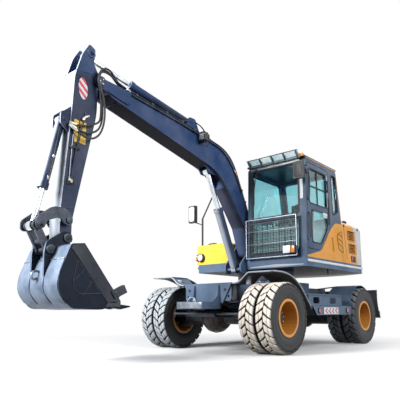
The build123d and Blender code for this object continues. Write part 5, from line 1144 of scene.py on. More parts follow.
class TrimArm(Undoable, bpy.types.Operator):
    """Adds the arm's pipes and brackets, its ear seams, the striped oval and the blank yellow plates."""

    bl_idname = "excavator.trim_arm"
    bl_label = "Arm trim"

    def execute(self, context):
        face = ARM_LEFT
        angles = [k * math.pi / 12 for k in range(24)]
        oval = [(3374 + 57 * math.cos(a) + 12.2 * math.sin(a), 2888 + 122 * math.sin(a)) for a in angles]
        fit(plate("arm_oval", oval, "Y", face - 0.5, face + 1.5, edge=0), "arm", "arm_sticker_film")
        labels = []
        for x0, x1 in ((3404, 3462), (3314, 3390)):
            for z0, z1 in ((2392, 2508), (2262, 2376)):
                corners = [(x0, z0), (x1, z0 + 8), (x1, z1 + 8), (x0, z1)]
                labels.append(plate("label", corners, "Y", face - 0.5, face + 1.5, round_by=5, edge=0))
        fit(joined("arm_labels", labels), "arm", "yellow_sheeting")
        line = [(3330, 2620), (3342, 2560), (3366, 2480), (3412, 2270), (3440, 2120), (3462, 1960), (3470, 1840)]
        tubes = [pipe("arm_pipe", [(x, face + 16, z) for x, z in line], sizes().pipe_radius)]
        second = [(3480, 2330), (3486, 2270), (3492, 2120), (3498, 1980), (3502, 1850)]
        tubes.append(pipe("arm_pipe_two", [(x - 12, face + 15, z) for x, z in second], sizes().pipe_radius))
        coat(joined("arm_pipes", tubes), "arm_enamel")
        fittings = [
            rod("silver_bend", (3300, face + 22, 2590), (3352, face + 22, 2556), 15),
            rod("silver_nut", (3352, face + 22, 2556), (3372, face + 22, 2520), 18, sides=6),
            rod("pipe_end", (3470, face + 16, 1846), (3470, face + 16, 1812), 14, sides=6),
            rod("pipe_end_two", (3490, face + 15, 1856), (3490, face + 15, 1826), 14, sides=6),
        ]
        coat(joined("arm_fittings", fittings), "zinc_plate")
        clamp = block("arm_clamp", (3392, face, 2180), (3500, face + 30, 2206), edge=4)
        base = plate("arm_bracket", [(3430, 1800), (3520, 1786), (3508, 1880), (3440, 1900)], "Y", face, face + 9)
        coat(joined("arm_clamps", [clamp, base]), "black_enamel")
        fit(joined("arm_pipework", [tubes[0], fittings[0], clamp]), "arm")
        seams = []
        for side in SIDES:
            y = BOOM_MIDDLE + side * 105
            seams.append(rod("ear_seam", (3206, y, 3098), (3470, y, 3072), 5))
            seams.append(rod("ear_boss", (3288, y, 3335), (3288, y + side * 8, 3335), 50, sides=32, edge=3))
            seams.append(rod("foot_seam", (3420, y, 1560), (3560, y, 1520), 4))
        fit(joined("arm_seams", seams), "arm", "arm_enamel")
        line = [(3682, 1836), (3668, 1850), (3596, 2350), (3590, 2395), (3560, 2420)]
        tube = pipe("ram_pipe", [(x, BOOM_MIDDLE + 52, z) for x, z in line], sizes().pipe_radius * 0.9)
        coat(tube, "black_enamel")
        nuts = [
            rod("ram_nut", (3684, BOOM_MIDDLE + 40, 1818), (3684, BOOM_MIDDLE + 52, 1852), 14, sides=6),
            rod("ram_band", (3640, BOOM_MIDDLE + 46, 2060), (3640, BOOM_MIDDLE + 62, 2080), 16),
        ]
        coat(joined("ram_nuts", nuts), "zinc_plate")
        fit(joined("bucket_ram_pipe", [tube, nuts[0]]), "bucket_cylinder_barrel")
        return {"FINISHED"}


# ---- Bucket -----------------------------------------------------------------------------------------------
# Outlines on the bucket's side plates, in x and z
BUCKET_SIDE_OUTLINES = {
    "strip": [(3452, 1160), (2990, 622), (3062, 598), (3152, 600), (3590, 1112), (3570, 1140)],
    "corner": [(2990, 620), (2990, 560), (3180, 560), (3150, 604)],
    "pressing": [(3516, 1010), (3232, 690), (3470, 676), (3540, 720), (3566, 800)],
    "rib": [(3420, 690), (3432, 690), (3345, 822), (3334, 812)],
    "cutter": [(3122, 712), (3074, 640), (2920, 708), (2962, 786)],
}


def pin_cover(name, side, x, z, reach, radius, sides=32, edge=2, finish_name="forged_steel"):
    """A round cover on a pin's end, between two distances from the boom's middle."""
    near, far = (BOOM_MIDDLE + side * distance for distance in reach)
    return coat(rod(name, (x, near, z), (x, far, z), radius, sides=sides, edge=edge), finish_name)


class TrimBucket(Undoable, bpy.types.Operator):
    """Adds the bucket's wear plates, side strips, pressed triangle, side cutters, hook and pin covers."""

    bl_idname = "excavator.trim_bucket"
    bl_label = "Bucket trim"

    def execute(self, context):
        left, right = high("bucket").y * 1000, low("bucket").y * 1000
        wrap = [(3648, 1016), (3668, 960), (3712, 846), (3714, 696), (3563, 536), (3230, 537)]
        bands = []
        for y0, y1 in ((right + 6, right + 232), (right + 254, right + 486), (right + 508, left - 6)):
            bands.append(bent_plate("wear_plate", wrap, y0, y1, 7))
        fit(joined("bucket_wear_plates", bands), "bucket", "bucket_plate")
        runs = ((right + 6, right + 220), (right + 300, left - 8))
        weld = [rod("back_weld", (3652, y0, 1008), (3652, y1, 1008), 8) for y0, y1 in runs]
        fit(joined("bucket_weld", weld), "bucket", "ground_steel")
        for name, face, way in (("left", left, 1), ("right", right, -1)):
            y0, y1 = face - way, face + way * 7
            raised, cut = face + way * 4, face + way * 26
            outlines = BUCKET_SIDE_OUTLINES
            strip = plate(f"lip_strip_{name}", outlines["strip"], "Y", y0, y1, round_by=6)
            tip = plate(f"lip_corner_{name}", outlines["corner"], "Y", y0, y1, round_by=6)
            pressing = plate(f"pressing_{name}", outlines["pressing"], "Y", y0, raised, round_by=30, ring=9, edge=1)
            inner = plate(f"inner_rib_{name}", outlines["rib"], "Y", y0, raised)
            fit(joined(f"bucket_side_{name}", [strip, tip, pressing, inner]), "bucket", "dark_enamel")
            edges = [
                rod("blue_edge", (3562, raised, 790), (3440, raised, 914), 4),
                rod("blue_edge_low", (3470, raised, 680), (3236, raised, 692), 4),
            ]
            fit(joined(f"bucket_blue_edges_{name}", edges), "bucket", "boom_enamel")
            cutter = plate(f"side_cutter_{name}", outlines["cutter"], "Y", face - way * 20, cut, round_by=6, edge=4)
            holes = [(3074, cut, 700), (3040, cut, 670)]
            screws = bolts(f"cutter_bolts_{name}", holes, outward(way), radius=15, height=9)
            coat(screws, "forged_steel")
            coat(cutter, "dark_enamel")
            fit(joined(f"bucket_cutter_{name}", [cutter, screws]), "bucket")
        bend = [(3700, 900), (3738, 905), (3772, 880), (3770, 830), (3735, 815), (3716, 838)]
        hook = pipe("bucket_hook", [(x, BOOM_MIDDLE, z) for x, z in bend], 0.012)
        fit(hook, "bucket", "ground_steel")
        covers = []
        for side in SIDES:
            for x, z in ((3486, 1239), (3664, 1111)):
                covers.append(pin_cover("pin_collar", side, x, z, (128, 144), 45, edge=3))
                covers.append(pin_cover("pin_end", side, x, z, (142, 148), 30, finish_name="black_enamel"))
        fit(joined("bucket_pin_covers", covers), "bucket")
        collars = [pin_cover("guide_collar", side, 3796, 1338, (152, 162), 38, sides=28) for side in SIDES]
        fit(joined("guide_collars", collars), "guide_links")
        caps = [pin_cover("guide_pin_cover", side, 3494, 1413, (160, 168), 34, sides=28) for side in SIDES]
        fit(joined("guide_pin_covers", caps), "arm")
        return {"FINISHED"}


# ---- Cab ----------------------------------------------------------------------------------------------------
DOOR_WINDOWS = (
    [(372, 1990), (-176, 1990), (-176, 2520), (362, 2520)],
    [(320, 1920), (320, 1440), (40, 1440), (-176, 1700), (-176, 1920)],
)
REAR_SIDE_WINDOW = [(-338, 2560), (-498, 2560), (-545, 1990), (-352, 1915)]
RIGHT_WINDOW = [(390, 1720), (380, 2560), (-430, 2560), (-520, 1960), (-520, 1720)]
PANEL_RECESS = [(-462, 1652), (-640, 1724), (-668, 1372), (-494, 1428)]
FRONT_LEAN = math.degrees(math.atan2(40, 1414))


def cab_front(z):
    """How far forward the cab's front face stands at a height."""
    return 487 - 40 * (z - DECK_TOP) / 1414


def front_gasket(name, z0, z1, width, proud):
    """A gasket round one of the cab's front windows, leaning back with the cab's front."""
    middle_z = (z0 + z1) / 2
    x = cab_front(middle_z)
    corners = rect(82, 894, z0 - 10, z1 + 10)
    piece = plate(name, corners, "X", x - 6, x + proud, round_by=50, ring=width)
    piece.data.transform(turn_about(at(x, 488, middle_z), "Y", -FRONT_LEAN))
    return piece


class TrimCab(Undoable, bpy.types.Operator):
    """Adds the cab's gaskets, pale header and pillar strip, orange roof edge, wiper and the lower panel's pressings.
    """

    bl_idname = "excavator.trim_cab"
    bl_label = "Cab trim"

    def execute(self, context):
        gaskets = [front_gasket("screen_gasket", 1848, 2590, 22, 5), front_gasket("foot_gasket", 1330, 1786, 18, 4)]
        gaskets.append(
            plate("rear_side_gasket", REAR_SIDE_WINDOW, "Y", CAB_LEFT - 4, CAB_LEFT + 4, round_by=30, ring=15)
        )
        gaskets.append(plate("right_gasket", RIGHT_WINDOW, "Y", 20, 11, round_by=50, ring=18))
        fit(joined("cab_gaskets", gaskets), "house", "gasket_rubber")
        x, z = cab_front(2612), 2612
        header = plate("cab_header", rect(70, 905, 2600, 2634), "X", x - 3, x + 5, round_by=8)
        header.data.transform(turn_about(at(x, 488, z), "Y", -FRONT_LEAN))
        x = cab_front(2320)
        pillar = plate("pillar_strip", rect(906, 950, 2050, 2590), "X", x - 3, x + 3, round_by=8)
        pillar.data.transform(turn_about(at(x, 928, 2320), "Y", -FRONT_LEAN))
        fit(joined("cab_pale_trim", [header, pillar]), "house", "pale_trim")
        roof = [(448, 2652), (448, 2684), (486, 2700), (500, 2690), (492, 2652)]
        edges = [
            rod("roof_edge", (430, CAB_LEFT + 1, 2642), (-500, CAB_LEFT + 1, 2642), 7),
            rod("rear_edge", (-517, CAB_LEFT - 4, 2610), (-640, CAB_LEFT - 4, 1840), 7),
            rod("rear_edge_low", (-642, CAB_LEFT - 4, 1838), (-642, CAB_LEFT - 4, 1260), 6),
            plate("roof_corner", roof, "Y", CAB_LEFT - 110, CAB_LEFT - 8, edge=4),
        ]
        fit(joined("cab_orange_edge", edges), "house", "hood_enamel")
        arm = [(cab_front(z) + proud, y, z) for proud, y, z in ((6, 180, 2588), (22, 170, 2500), (20, 138, 2260))]
        x, motor = cab_front(2260), cab_front(2600)
        wiper = [
            pipe("wiper_arm", arm, 0.006),
            block("wiper_blade", (x + 8, 132, 2060), (x + 20, 142, 2460), edge=2),
            rod("wiper_motor", (motor - 4, 180, 2596), (motor + 22, 180, 2596), 20, edge=3),
        ]
        wiper[1].data.transform(turn_about(at(x, 137, 2260), "Y", -FRONT_LEAN))
        coat(joined("wiper", wiper), "black_moulding")
        fit(wiper[0], "house")
        seams = [
            plate("recess_floor", PANEL_RECESS, "Y", CAB_LEFT - 1, CAB_LEFT + 2, round_by=30),
            plate(
                "slot_rim",
                [(-286, 1590), (-322, 1590), (-356, 1372), (-318, 1372)],
                "Y",
                CAB_LEFT - 1,
                CAB_LEFT + 6,
                round_by=14,
                ring=9,
            ),
        ]
        fit(joined("cab_panel_pressings", seams), "house", "hood_enamel")
        shades = [
            plate("recess_wall", PANEL_RECESS, "Y", CAB_LEFT - 2, CAB_LEFT + 5, round_by=30, ring=15),
            plate(
                "slot_floor",
                [(-292, 1580), (-318, 1580), (-350, 1382), (-322, 1382)],
                "Y",
                CAB_LEFT - 2,
                CAB_LEFT + 2,
                round_by=8,
                edge=0,
            ),
        ]
        for k in range(3):
            z = 1462 + 78 * k
            rib = [(-508, z + 40), (-508, z + 54), (-600, z + 36), (-640, z - 4), (-634, z - 16), (-596, z + 20)]
            shades.append(plate("panel_rib", rib, "Y", CAB_LEFT - 1, CAB_LEFT + 6))
        fit(joined("cab_panel_recesses", shades), "house", "shaded_hood_enamel")
        return {"FINISHED"}


class TrimDoor(Undoable, bpy.types.Operator):
    """Adds the door's gaskets, divider, handles, latch strip, handle plate and pale strip."""

    bl_idname = "excavator.trim_door"
    bl_label = "Door trim"

    def execute(self, context):
        face = CAB_LEFT
        gaskets = [
            plate("door_upper_gasket", DOOR_WINDOWS[0], "Y", face - 5, face + 5, round_by=50, ring=18),
            plate("door_lower_gasket", DOOR_WINDOWS[1], "Y", face - 5, face + 5, round_by=50, ring=18),
            block("door_divider", (-176, face - 22, 2244), (368, face - 4, 2262), edge=2),
            block("door_slider_edge", (96, face - 22, 1996), (110, face - 4, 2514), edge=2),
        ]
        fit(joined("door_gaskets", gaskets), "cab_door", "gasket_rubber")
        rails = []
        for z0, z1 in ((1480, 1860), (2030, 2480)):
            rails.append(
                pipe(
                    "door_rail",
                    [(398, face - 6, z0), (398, face + 30, z0 + 6), (398, face + 31, z1 - 6), (398, face - 6, z1)],
                    0.009,
                ),
            )
        rails.append(block("latch_strip", (-236, face - 2, 1760), (-208, face + 12, 2180), edge=4))
        fit(joined("door_handles", rails), "cab_door", "black_moulding")
        handle = plate(
            "door_handle_plate",
            [(-20, 1842), (-20, 1912), (-150, 1912), (-150, 1842)],
            "Y",
            face - 2,
            face + 10,
            round_by=16,
            edge=3,
        )
        lever = rod("door_lever", (-50, face + 14, 1880), (-130, face + 14, 1880), 8)
        fit(joined("door_handle", [handle, lever]), "cab_door", "pale_trim")
        strip = plate("door_pale_strip", rect(-196, -184, 2020, 2500), "Y", face - 1, face + 3)
        fit(strip, "cab_door", "pale_trim")
        return {"FINISHED"}


# Halfway between the cab's walls, and the top of its floor
SEAT_MIDDLE = (16 + 993) / 2
CAB_FLOOR = DECK_TOP + 46
# Half widths below and above, the heights over the floor, x from and to, and the cloth's pull in metres
CUSHIONS = (
    ("seat_cushion", 215, 205, 262, 322, -250, 168, 0.02),
    ("seat_back", 200, 178, 350, 860, -262, -200, 0.022),
    ("seat_head", 110, 100, 800, 878, -296, -236, 0.012),
)


def cushion(name, corners, axis, start, end, pull):
    """A foam cushion under cloth: a slab shrunk a little, blown up by a short cloth simulation, then smoothed."""
    piece = plate(name, corners, axis, start, end, round_by=36, edge=18)
    modify(piece, "REMESH", mode="VOXEL", voxel_size=0.006)
    before = [vertex.co.copy() for vertex in piece.data.vertices]
    take(piece)
    cloth = piece.modifiers.new("cloth", "CLOTH")
    cloth.settings.use_pressure = True
    cloth.settings.uniform_pressure_force = sizes().seat_pressure
    cloth.settings.effector_weights.gravity = 0
    for number in range(1, 21):
        bpy.context.scene.frame_set(number)
    bpy.ops.object.modifier_apply(modifier="cloth")
    bpy.context.scene.frame_set(1)
    for vertex, old in zip(piece.data.vertices, before):
        moved = vertex.co - old
        if moved.length > pull:
            vertex.co = old + moved.normalized() * pull
    modify(piece, "SMOOTH", factor=0.5, iterations=4)
    modify(piece, "SUBSURF", levels=1, render_levels=1)
    return keep(piece, name, edge=0, smooth=80)


class MakeSeat(Undoable, bpy.types.Operator):
    """Upholsters the driver's seat: a cushion with piping, a back and a head rest, armrests, and a base with bellows.
    """

    bl_idname = "excavator.make_seat"
    bl_label = "Driver's seat"

    def execute(self, context):
        y, floor = SEAT_MIDDLE, CAB_FLOOR
        for name, half_low, half_high, z0, z1, x0, x1, pull in CUSHIONS:
            outline = [(y - half_low, floor + z0), (y + half_low, floor + z0)]
            outline += [(y + half_high, floor + z1), (y - half_high, floor + z1)]
            piece = cushion(name, outline, "X", x0, x1, pull)
            if name == "seat_back":
                piece.data.transform(turn_about(at(-230, y, floor + 300), "Y", -7))
            fit(piece, "house", "seat_weave")
        piping = []
        for side in SIDES:
            seam = [(160, 205, 326), (0, 214, 330), (-200, 205, 326)]
            piping.append(pipe("piping", [(x, y + side * out, floor + z) for x, out, z in seam], 0.004))
        coat(joined("piping", piping), "hose_rubber")
        base = block("seat_base", (-230, y - 150, floor), (60, y + 150, floor + 60), edge=10)
        pan = block("seat_pan", (-270, y - 225, floor + 226), (170, y + 225, floor + 262), edge=12)
        folds = []
        for k, tuck in enumerate((0, 8, 0, 8, 0, 8)):
            z = floor + 60 + 28 * k
            folds.append(
                block("bellows", (-200 + tuck, y - 130 + tuck, z), (30 - tuck, y + 130 - tuck, z + 28), edge=8)
            )
        side_view = [(-282, floor + 250), (-250, floor + 250), (-312, floor + 880), (-336, floor + 880)]
        shell = plate("seat_shell", side_view, "Y", y - 190, y + 190, round_by=8, edge=6)
        rests = []
        for side in SIDES:
            rests.append(
                block("arm_rest", (-200, y + side * 205, floor + 500), (120, y + side * 243, floor + 540), edge=14)
            )
            rests.append(
                rod("rest_stay", (-240, y + side * 224, floor + 420), (-190, y + side * 224, floor + 515), 12)
            )
            rests.append(rod("head_stay", (-262, y + side * 60, floor + 740), (-276, y + side * 60, floor + 840), 7))
        hard = coat(joined("seat_frame", [base, pan, *folds, shell, *rests]), "black_moulding")
        frame_piece = joined("seat_frame", [hard, piping[0]])
        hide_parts("seat")
        fit(frame_piece, "house")
        return {"FINISHED"}


class MakeControls(Undoable, bpy.types.Operator):
    """Adds the levers, the display, the pedals and the floor mat seen through the glass."""

    bl_idname = "excavator.make_controls"
    bl_label = "Controls"

    def execute(self, context):
        y, floor = SEAT_MIDDLE, CAB_FLOOR
        parts = [
            block("display", (326, y - 330, floor + 480), (356, y - 150, floor + 610), edge=10),
            rod("display_post", (352, y - 240, floor), (345, y - 240, floor + 490), 12),
            block("floor_mat", (-120, y - 250, floor - 2), (400, y + 250, floor + 8), edge=3),
        ]
        for side in SIDES:
            stick = [
                (x, y + side * out, floor + z) for x, out, z in ((60, 304, 415), (80, 304, 500), (100, 300, 590))
            ]
            grip = [(x, y + side * out, floor + z) for x, out, z in ((92, 302, 560), (108, 299, 650))]
            foot = y + side * 90
            parts += [
                block("side_console", (-220, y + side * 268, floor), (110, y + side * 340, floor + 420), edge=16),
                pipe("lever", stick, 0.011),
                rod("lever_grip", *grip, 22, taper=0.8, edge=5),
                block("pedal", (330, foot - 40, floor + 16), (420, foot + 40, floor + 46), edge=6),
                rod("pedal_lever", (400, foot, floor + 30), (360, foot, floor + 260), 9),
            ]
        fit(joined("cab_controls", parts), "house", "grey_moulding")
        return {"FINISHED"}


class MakeGuard(Undoable, bpy.types.Operator):
    """Frames the lower window's wire guard in pale bars, closes its mesh and hoops the visor."""

    bl_idname = "excavator.make_guard"
    bl_label = "Window guard and visor hoops"

    def execute(self, context):
        _, y0, z0 = low("window_guard") * 1000
        x, y1, z1 = high("window_guard") * 1000
        x -= WHEELBASE_MIDDLE * 1000
        bars = [plate("guard_rim", rect(y0 + 1, y1 - 1, z0 + 1, z1 - 1), "X", x - 14, x + 3, round_by=14, ring=12)]
        for share in (0.36, 0.68):
            z = z0 + (z1 - z0) * share
            bars.append(rod("guard_bar", (x - 6, y0 + 12, z), (x - 6, y1 - 12, z), 7))
        bars.append(rod("guard_top_bar", (x - 18, y0 + 20, z1 - 60), (x - 18, y1 - 20, z1 - 60), 9))
        fit(joined("guard_frame", bars), "house", "ground_steel")
        wires = []
        for n in range(1, 18):
            y = y0 + 18 + n * (y1 - y0 - 36) / 18
            wires.append(rod("wire", (x - 13, y, z0 + 16), (x - 13, y, z1 - 16), 3.2, sides=6, edge=0))
        for n in range(1, 13):
            z = z0 + 16 + n * (z1 - z0 - 32) / 13
            wires.append(rod("wire", (x - 9, y0 + 16, z), (x - 9, y1 - 16, z), 3.2, sides=6, edge=0))
        fit(joined("guard_wires", wires), "house", "black_enamel")
        bend = [(470, 2688), (500, 2706), (562, 2730), (566, 2700), (500, 2640), (489, 2632)]
        hoops = [pipe("hoop", [(x, y, z) for x, z in bend], 0.007) for y in range(100, 909, 202)]
        hoops.append(rod("visor_edge", (486, 70, 2633), (486, 940, 2633), 6))
        hoops.append(rod("visor_top", (561, 70, 2733), (561, 940, 2733), 5))
        fit(joined("visor_hoops", hoops), "house", "black_enamel")
        return {"FINISHED"}


# ---- House -------------------------------------------------------------------------------------------------
class TrimHouse(Undoable, bpy.types.Operator):
    """Adds the hood's seams, latches, exhaust and filler caps, rear lamps, deck band, rails and the tank's handle."""

    bl_idname = "excavator.trim_house"
    bl_label = "House trim"

    def execute(self, context):
        side, top = HOUSE_SIDE, high("engine_hood").z * 1000
        trim = []
        for x0, x1, z0, z1 in ((-1135, -861, 1600, 1769), (-1160, -884, 1393, 1562)):
            trim += on_both_sides("grille_rim", rect(x0, x1, z0, z1), side, 7, round_by=14, ring=12)
        fit(joined("hood_pressings", trim), "house", "hood_enamel")
        caps = [
            rod("filler_neck", (-1010, 870, top - 20), (-1010, 870, top + 34), 42, sides=28, edge=4),
            rod("filler_dome", (-1010, 870, top + 34), (-1010, 870, top + 66), 50, taper=0.5, sides=28, edge=10),
            rod("hood_seam_left", (-705, side, 1819), (-797, side, 1300), 3, sides=8, edge=0),
            rod("hood_seam_right", (-705, -side, 1819), (-797, -side, 1300), 3, sides=8, edge=0),
            rod("exhaust_pipe", (-1180, -560, top - 4), (-1180, -560, top + 60), 52, sides=28, edge=4),
            rod("exhaust_dome", (-1180, -560, top + 60), (-1180, -560, top + 104), 58, taper=0.55, sides=28, edge=10),
            rod("air_cap", (-900, 620, top - 4), (-900, 620, top + 34), 70, taper=0.9, sides=32, edge=8),
            rod("air_dome", (-900, 620, top + 34), (-900, 620, top + 66), 64, taper=0.5, sides=32, edge=10),
            block("tail_lamp_left", (-1104, side - 2, 1266), (-944, side + 10, 1362), edge=5),
        ]
        fit(joined("hood_caps", caps), "house", "black_moulding")
        lens = [
            block("tail_lens", (x - 14, side + 8, 1276), (x + 14, side + 14, 1352), edge=3) for x in (-962, -1086)
        ]
        for way in SIDES:
            rear = plate("rear_lens", rect(-70, 70, 1330, 1420), "X", -1728, -1712, round_by=10, edge=4)
            rear.data.transform(turn_about(at(0, 0, 0), "Z", -28.9 * way))
            lens.append(rear)
        fit(joined("house_red_lenses", lens), "house", "red_lens")
        latches = []
        for x in (-1240, -720):
            latches += on_both_sides("latch", rect(x - 22, x + 22, 1800, 1836), side, 9, round_by=8, edge=3)
        bend = [(-700, 1550), (-700, 1584), (-800, 1590), (-900, 1584), (-900, 1550)]
        latches.append(pipe("tank_handle", [(330, y, z) for y, z in bend], 0.009))
        latches.append(rod("tank_cap", (100, -840, 1554), (100, -840, 1590), 52, sides=32, edge=6))
        fit(joined("house_latches", latches), "house", "black_moulding")
        band = on_both_sides("deck_band", rect(472, -1380, 1172, 1206), side, 5, edge=2)
        fit(joined("deck_bands", band), "house", "pale_trim")
        # A pale lens-shaped band across the deck's front, standing a few millimetres proud: a painted highlight
        outline = [(60, 1128), (500, 1116), (930, 1128), (940, 1140), (500, 1158), (50, 1140)]
        highlight_strip = plate("deck_front_highlight", outline, "X", 485, 492, round_by=6, edge=3)
        fit(highlight_strip, "house", "highlight_slate_enamel")
        seams = [rod("tail_seam", (-1672, y, 1120), (-1672, y, 1810), 5) for y in (-400, 400)]
        fit(joined("tail_seams", seams), "house", "tail_enamel")
        bend = [(-700, -20), (-700, 90), (-900, 100), (-1200, 90), (-1200, -20)]
        rail = pipe("hood_rail", [(x, -900, top + rise) for x, rise in bend], 0.012)
        hang = pipe("drain_pipe", [(-230, 930, 1112), (-230, 934, 1060), (-236, 934, 1040)], 0.012)
        fit(joined("house_rails", [rail, hang]), "house", "black_enamel")
        return {"FINISHED"}


# The glass's x, then y and z of each mirror's head from and to, and the finish of its back
MIRROR_HEADS = ((565, 900, 1044, 2300, 2545, "black_moulding"), (470, -1150, -1010, 1940, 2222, "pale_trim"))


class TrimMirrors(Undoable, bpy.types.Operator):
    """Silvers the mirrors, rounds their heads and puts lenses on the front lamps."""

    bl_idname = "excavator.trim_mirrors"
    bl_label = "Mirror glass and lamp lenses"

    def execute(self, context):
        glass, backs = [], []
        for x, y0, y1, z0, z1, finish_name in MIRROR_HEADS:
            outline = rect(y0 + 12, y1 - 12, z0 + 12, z1 - 12)
            glass.append(plate("mirror_glass", outline, "X", x - 4, x + 2, round_by=24))
            outline = rect(y0 + 14, y1 - 14, z0 + 16, z1 - 16)
            back = plate("mirror_back", outline, "X", x + 56, x + 68, round_by=34, edge=8)
            backs.append(coat(back, finish_name))
        fit(joined("mirror_glass", glass), "house", "mirror_silver")
        fit(joined("mirror_backs", backs), "house")
        face = high("front_lamps").x * 1000 - WHEELBASE_MIDDLE * 1000
        clear = [plate("left_lens", rect(690, 800, 1288, 1390), "X", face - 6, face + 4, round_by=10, edge=3)]
        clear.append(rod("right_lens", (520, -895, 1350), (537, -895, 1350), 52, sides=36, edge=5))
        fit(joined("lamp_clear_lenses", clear), "house", "clear_lens")
        amber = [
            plate("left_amber", rect(808, 868, 1294, 1384), "X", face - 12, face - 2, round_by=8, edge=3),
            block("right_amber", (490, -986, 1302), (530, -966, 1398), edge=5),
        ]
        fit(joined("lamp_amber_lenses", amber), "house", "amber_lens")
        return {"FINISHED"}


# ---- Undercarriage -----------------------------------------------------------------------------------------
class TrimChassis(Undoable, bpy.types.Operator):
    """Adds the frame's bolts, struts, tow hook, tread grips, chevron plate, pipes and lamp rims."""

    bl_idname = "excavator.trim_chassis"
    bl_label = "Undercarriage trim"

    def execute(self, context):
        grips = []
        pattern = rod("grip", (-450, 1000, 728), (-450, 1000, 736), 13, sides=12, taper=0.8, edge=0)
        moves = [shift(50 * k, 44 * (j - 1) - 20, 0) for k in range(19) for j in range(3)]
        grips.append(repeated("upper_grips", pattern, moves))
        lower = rod("grip", (-600, 980, 575), (-600, 980, 583), 12, sides=12, taper=0.8, edge=0)
        moves = [shift(50 * k, 44 * j, 0) for k in range(20) for j in range(2)]
        grips.append(repeated("lower_grips", lower, moves))
        both = joined("step_grips", grips)
        fit(repeated("step_grips", both, [STAY, MIRROR]), "chassis", "chassis_enamel")
        plates = []
        for way in SIDES:
            back, front, printed = (way * (STEP_FACE + proud) for proud in (-1, 4, 6))
            board = coat(plate("chevron_board", rect(-236, 206, 464, 556), "Y", back, front, round_by=6), "pale_trim")
            arrows = []
            for x in (-212, -112, -12, 88):
                arrow = [(x, 474), (x + 38, 474), (x + 84, 510), (x + 38, 546), (x, 546), (x + 46, 510)]
                arrows.append(plate("arrow", arrow, "Y", way * (STEP_FACE + 3), printed, edge=0))
            plates.extend([board, coat(joined("arrows", arrows), "red_lens")])
        fit(joined("step_chevrons", plates), "chassis")
        rims = []
        for x in (340, -531):
            for way in SIDES:
                ring = spun("lamp_ring", [(30, -8), (38, -8), (38, 4), (33, 7), (30, 4)], 28)
                ring.data.transform(Matrix.Translation(at(x, way * (STEP_FACE + 10), 515)))
                rims.append(ring)
        fit(joined("step_lamp_rims", rims), "chassis", "black_moulding")
        struts = []
        for way in SIDES:
            for y, z0, z1, radius in ((600, 846, 944, 34), (600, 838, 850, 26), (372, 650, 850, 34)):
                struts.append(rod("strut", (1300, way * y, z0), (1300, way * y, z1), radius, sides=28, edge=4))
        fit(joined("struts", struts), "chassis", "highlight_slate_enamel")
        holes = [(PLATE_FRONT, y, 782) for y in (-306, 306)]
        caps = [rod("hole_rim", (x - 1, y, z), (x + 3, y, z), 20, sides=24, edge=1) for x, y, z in holes]
        fit(joined("hole_rims", caps), "chassis", "black_enamel")
        # A rolled bead along each fender's front and outer edge, coloured pale as a painted highlight
        bead = [
            (1396, 424, 858),
            (1396, 516, 858),
            (1396, 652, 982),
            (1396, 700, 983),
            (1396, 1015, 983),
            (1382, 1028, 983),
        ]
        turns = [math.radians(90 + 46.9 * k / 8) for k in range(9)]
        arch = [(1224 + 760 * math.cos(a), 1029, 223 + 760 * math.sin(a)) for a in turns]
        edge = pipe("fender_bead", [*bead, *arch, (480, 1029, 540)], 0.009)
        fit(repeated("fender_beads", edge, [STAY, MIRROR]), "chassis", "highlight_slate_enamel")
        hook = pipe(
            "tow_hook", [(1700, 60, 632), (1700, 60, 668), (1688, 0, 684), (1700, -60, 668), (1700, -60, 632)], 0.011
        )
        pin = rod("tow_pin", (1655, 0, 540), (1655, 0, 668), 16, edge=3)
        face = plate("tow_face", rect(-205, 205, 548, 622), "X", 1739, 1743, round_by=8)
        fit(joined("tow_gear", [hook, pin, face]), "chassis", "ground_steel")
        lines = []
        for y, end_y in ((-26, 60), (2, 80), (30, 100)):
            route = [(470, y, 640), (700, y, 622), (900, y - 20, 600), (1000, y - 30, 560), (1090, y - 60, 560)]
            route += [(1240, y - 60, 600), (1350, end_y, 560), (1396, end_y, 530)]
            lines.append(pipe("chassis_hose", route, 0.01))
        for way in SIDES:
            lines.append(
                pipe("brake_pipe", [(1150, way * 120, 524), (1150, way * 300, 528), (1150, way * 420, 540)], 0.007)
            )
        fit(joined("chassis_hoses", lines), "chassis", "hose_rubber")
        angles = [k * math.pi / 12 + 0.13 for k in range(24)]
        studs = bolts("ring_bolts", [(470 * math.cos(a), 470 * math.sin(a), 930) for a in angles], "Z", radius=12)
        fit(studs, "chassis")
        return {"FINISHED"}


class TrimBlade(Undoable, bpy.types.Operator):
    """Adds the blade's cutting edge and the back's stiffening ribs and gussets."""

    bl_idname = "excavator.trim_blade"
    bl_label = "Blade trim"

    def execute(self, context):
        half = high("dozer_blade").y * 1000
        edge = plate(
            "cutting_edge", [(-1812, 386), (-1796, 386), (-1788, 500), (-1800, 500)], "Y", -half + 1, half - 1, edge=3
        )
        coat(edge, "ground_steel")
        ribs = []
        for z in (560, 760):
            ribs.append(rod("blade_rib", (-1752, -half + 20, z), (-1752, half - 20, z), 17, sides=8, edge=3))
        for y in (-700, -480, 480, 700):
            ribs.append(
                plate("blade_gusset", [(-1760, 470), (-1700, 520), (-1694, 760), (-1730, 820)], "Y", y - 6, y + 6)
            )
        coat(joined("blade_ribs", ribs), "blade_enamel")
        fit(joined("blade_dress", [edge, ribs[0]]), "dozer_blade")
        return {"FINISHED"}


# ---- Stage -----------------------------------------------------------------------------------------------
CAMERA_PLACE = (5.049, 4.009, 0.530)
CAMERA_TURNS = (("Z", 129.77), ("X", 100.03), ("Z", -0.19))
# Focal length in millimetres, then the shift sideways and up
CAMERA_LENS = (41.73, -0.03625, 0.06925)
# Name, place and aim in metres, size in metres, power in watts
LAMPS = (
    ("key", (8.0, -2.0, 4.6), (0.6, 0.0, 1.0), 3.4, 1350),
    ("fill", (0.0, 8.5, 5.0), (0.0, 0.5, 1.2), 5.0, 620),
    ("back", (-7.0, 1.0, 6.0), (-0.5, 0.0, 1.2), 6.0, 160),
)


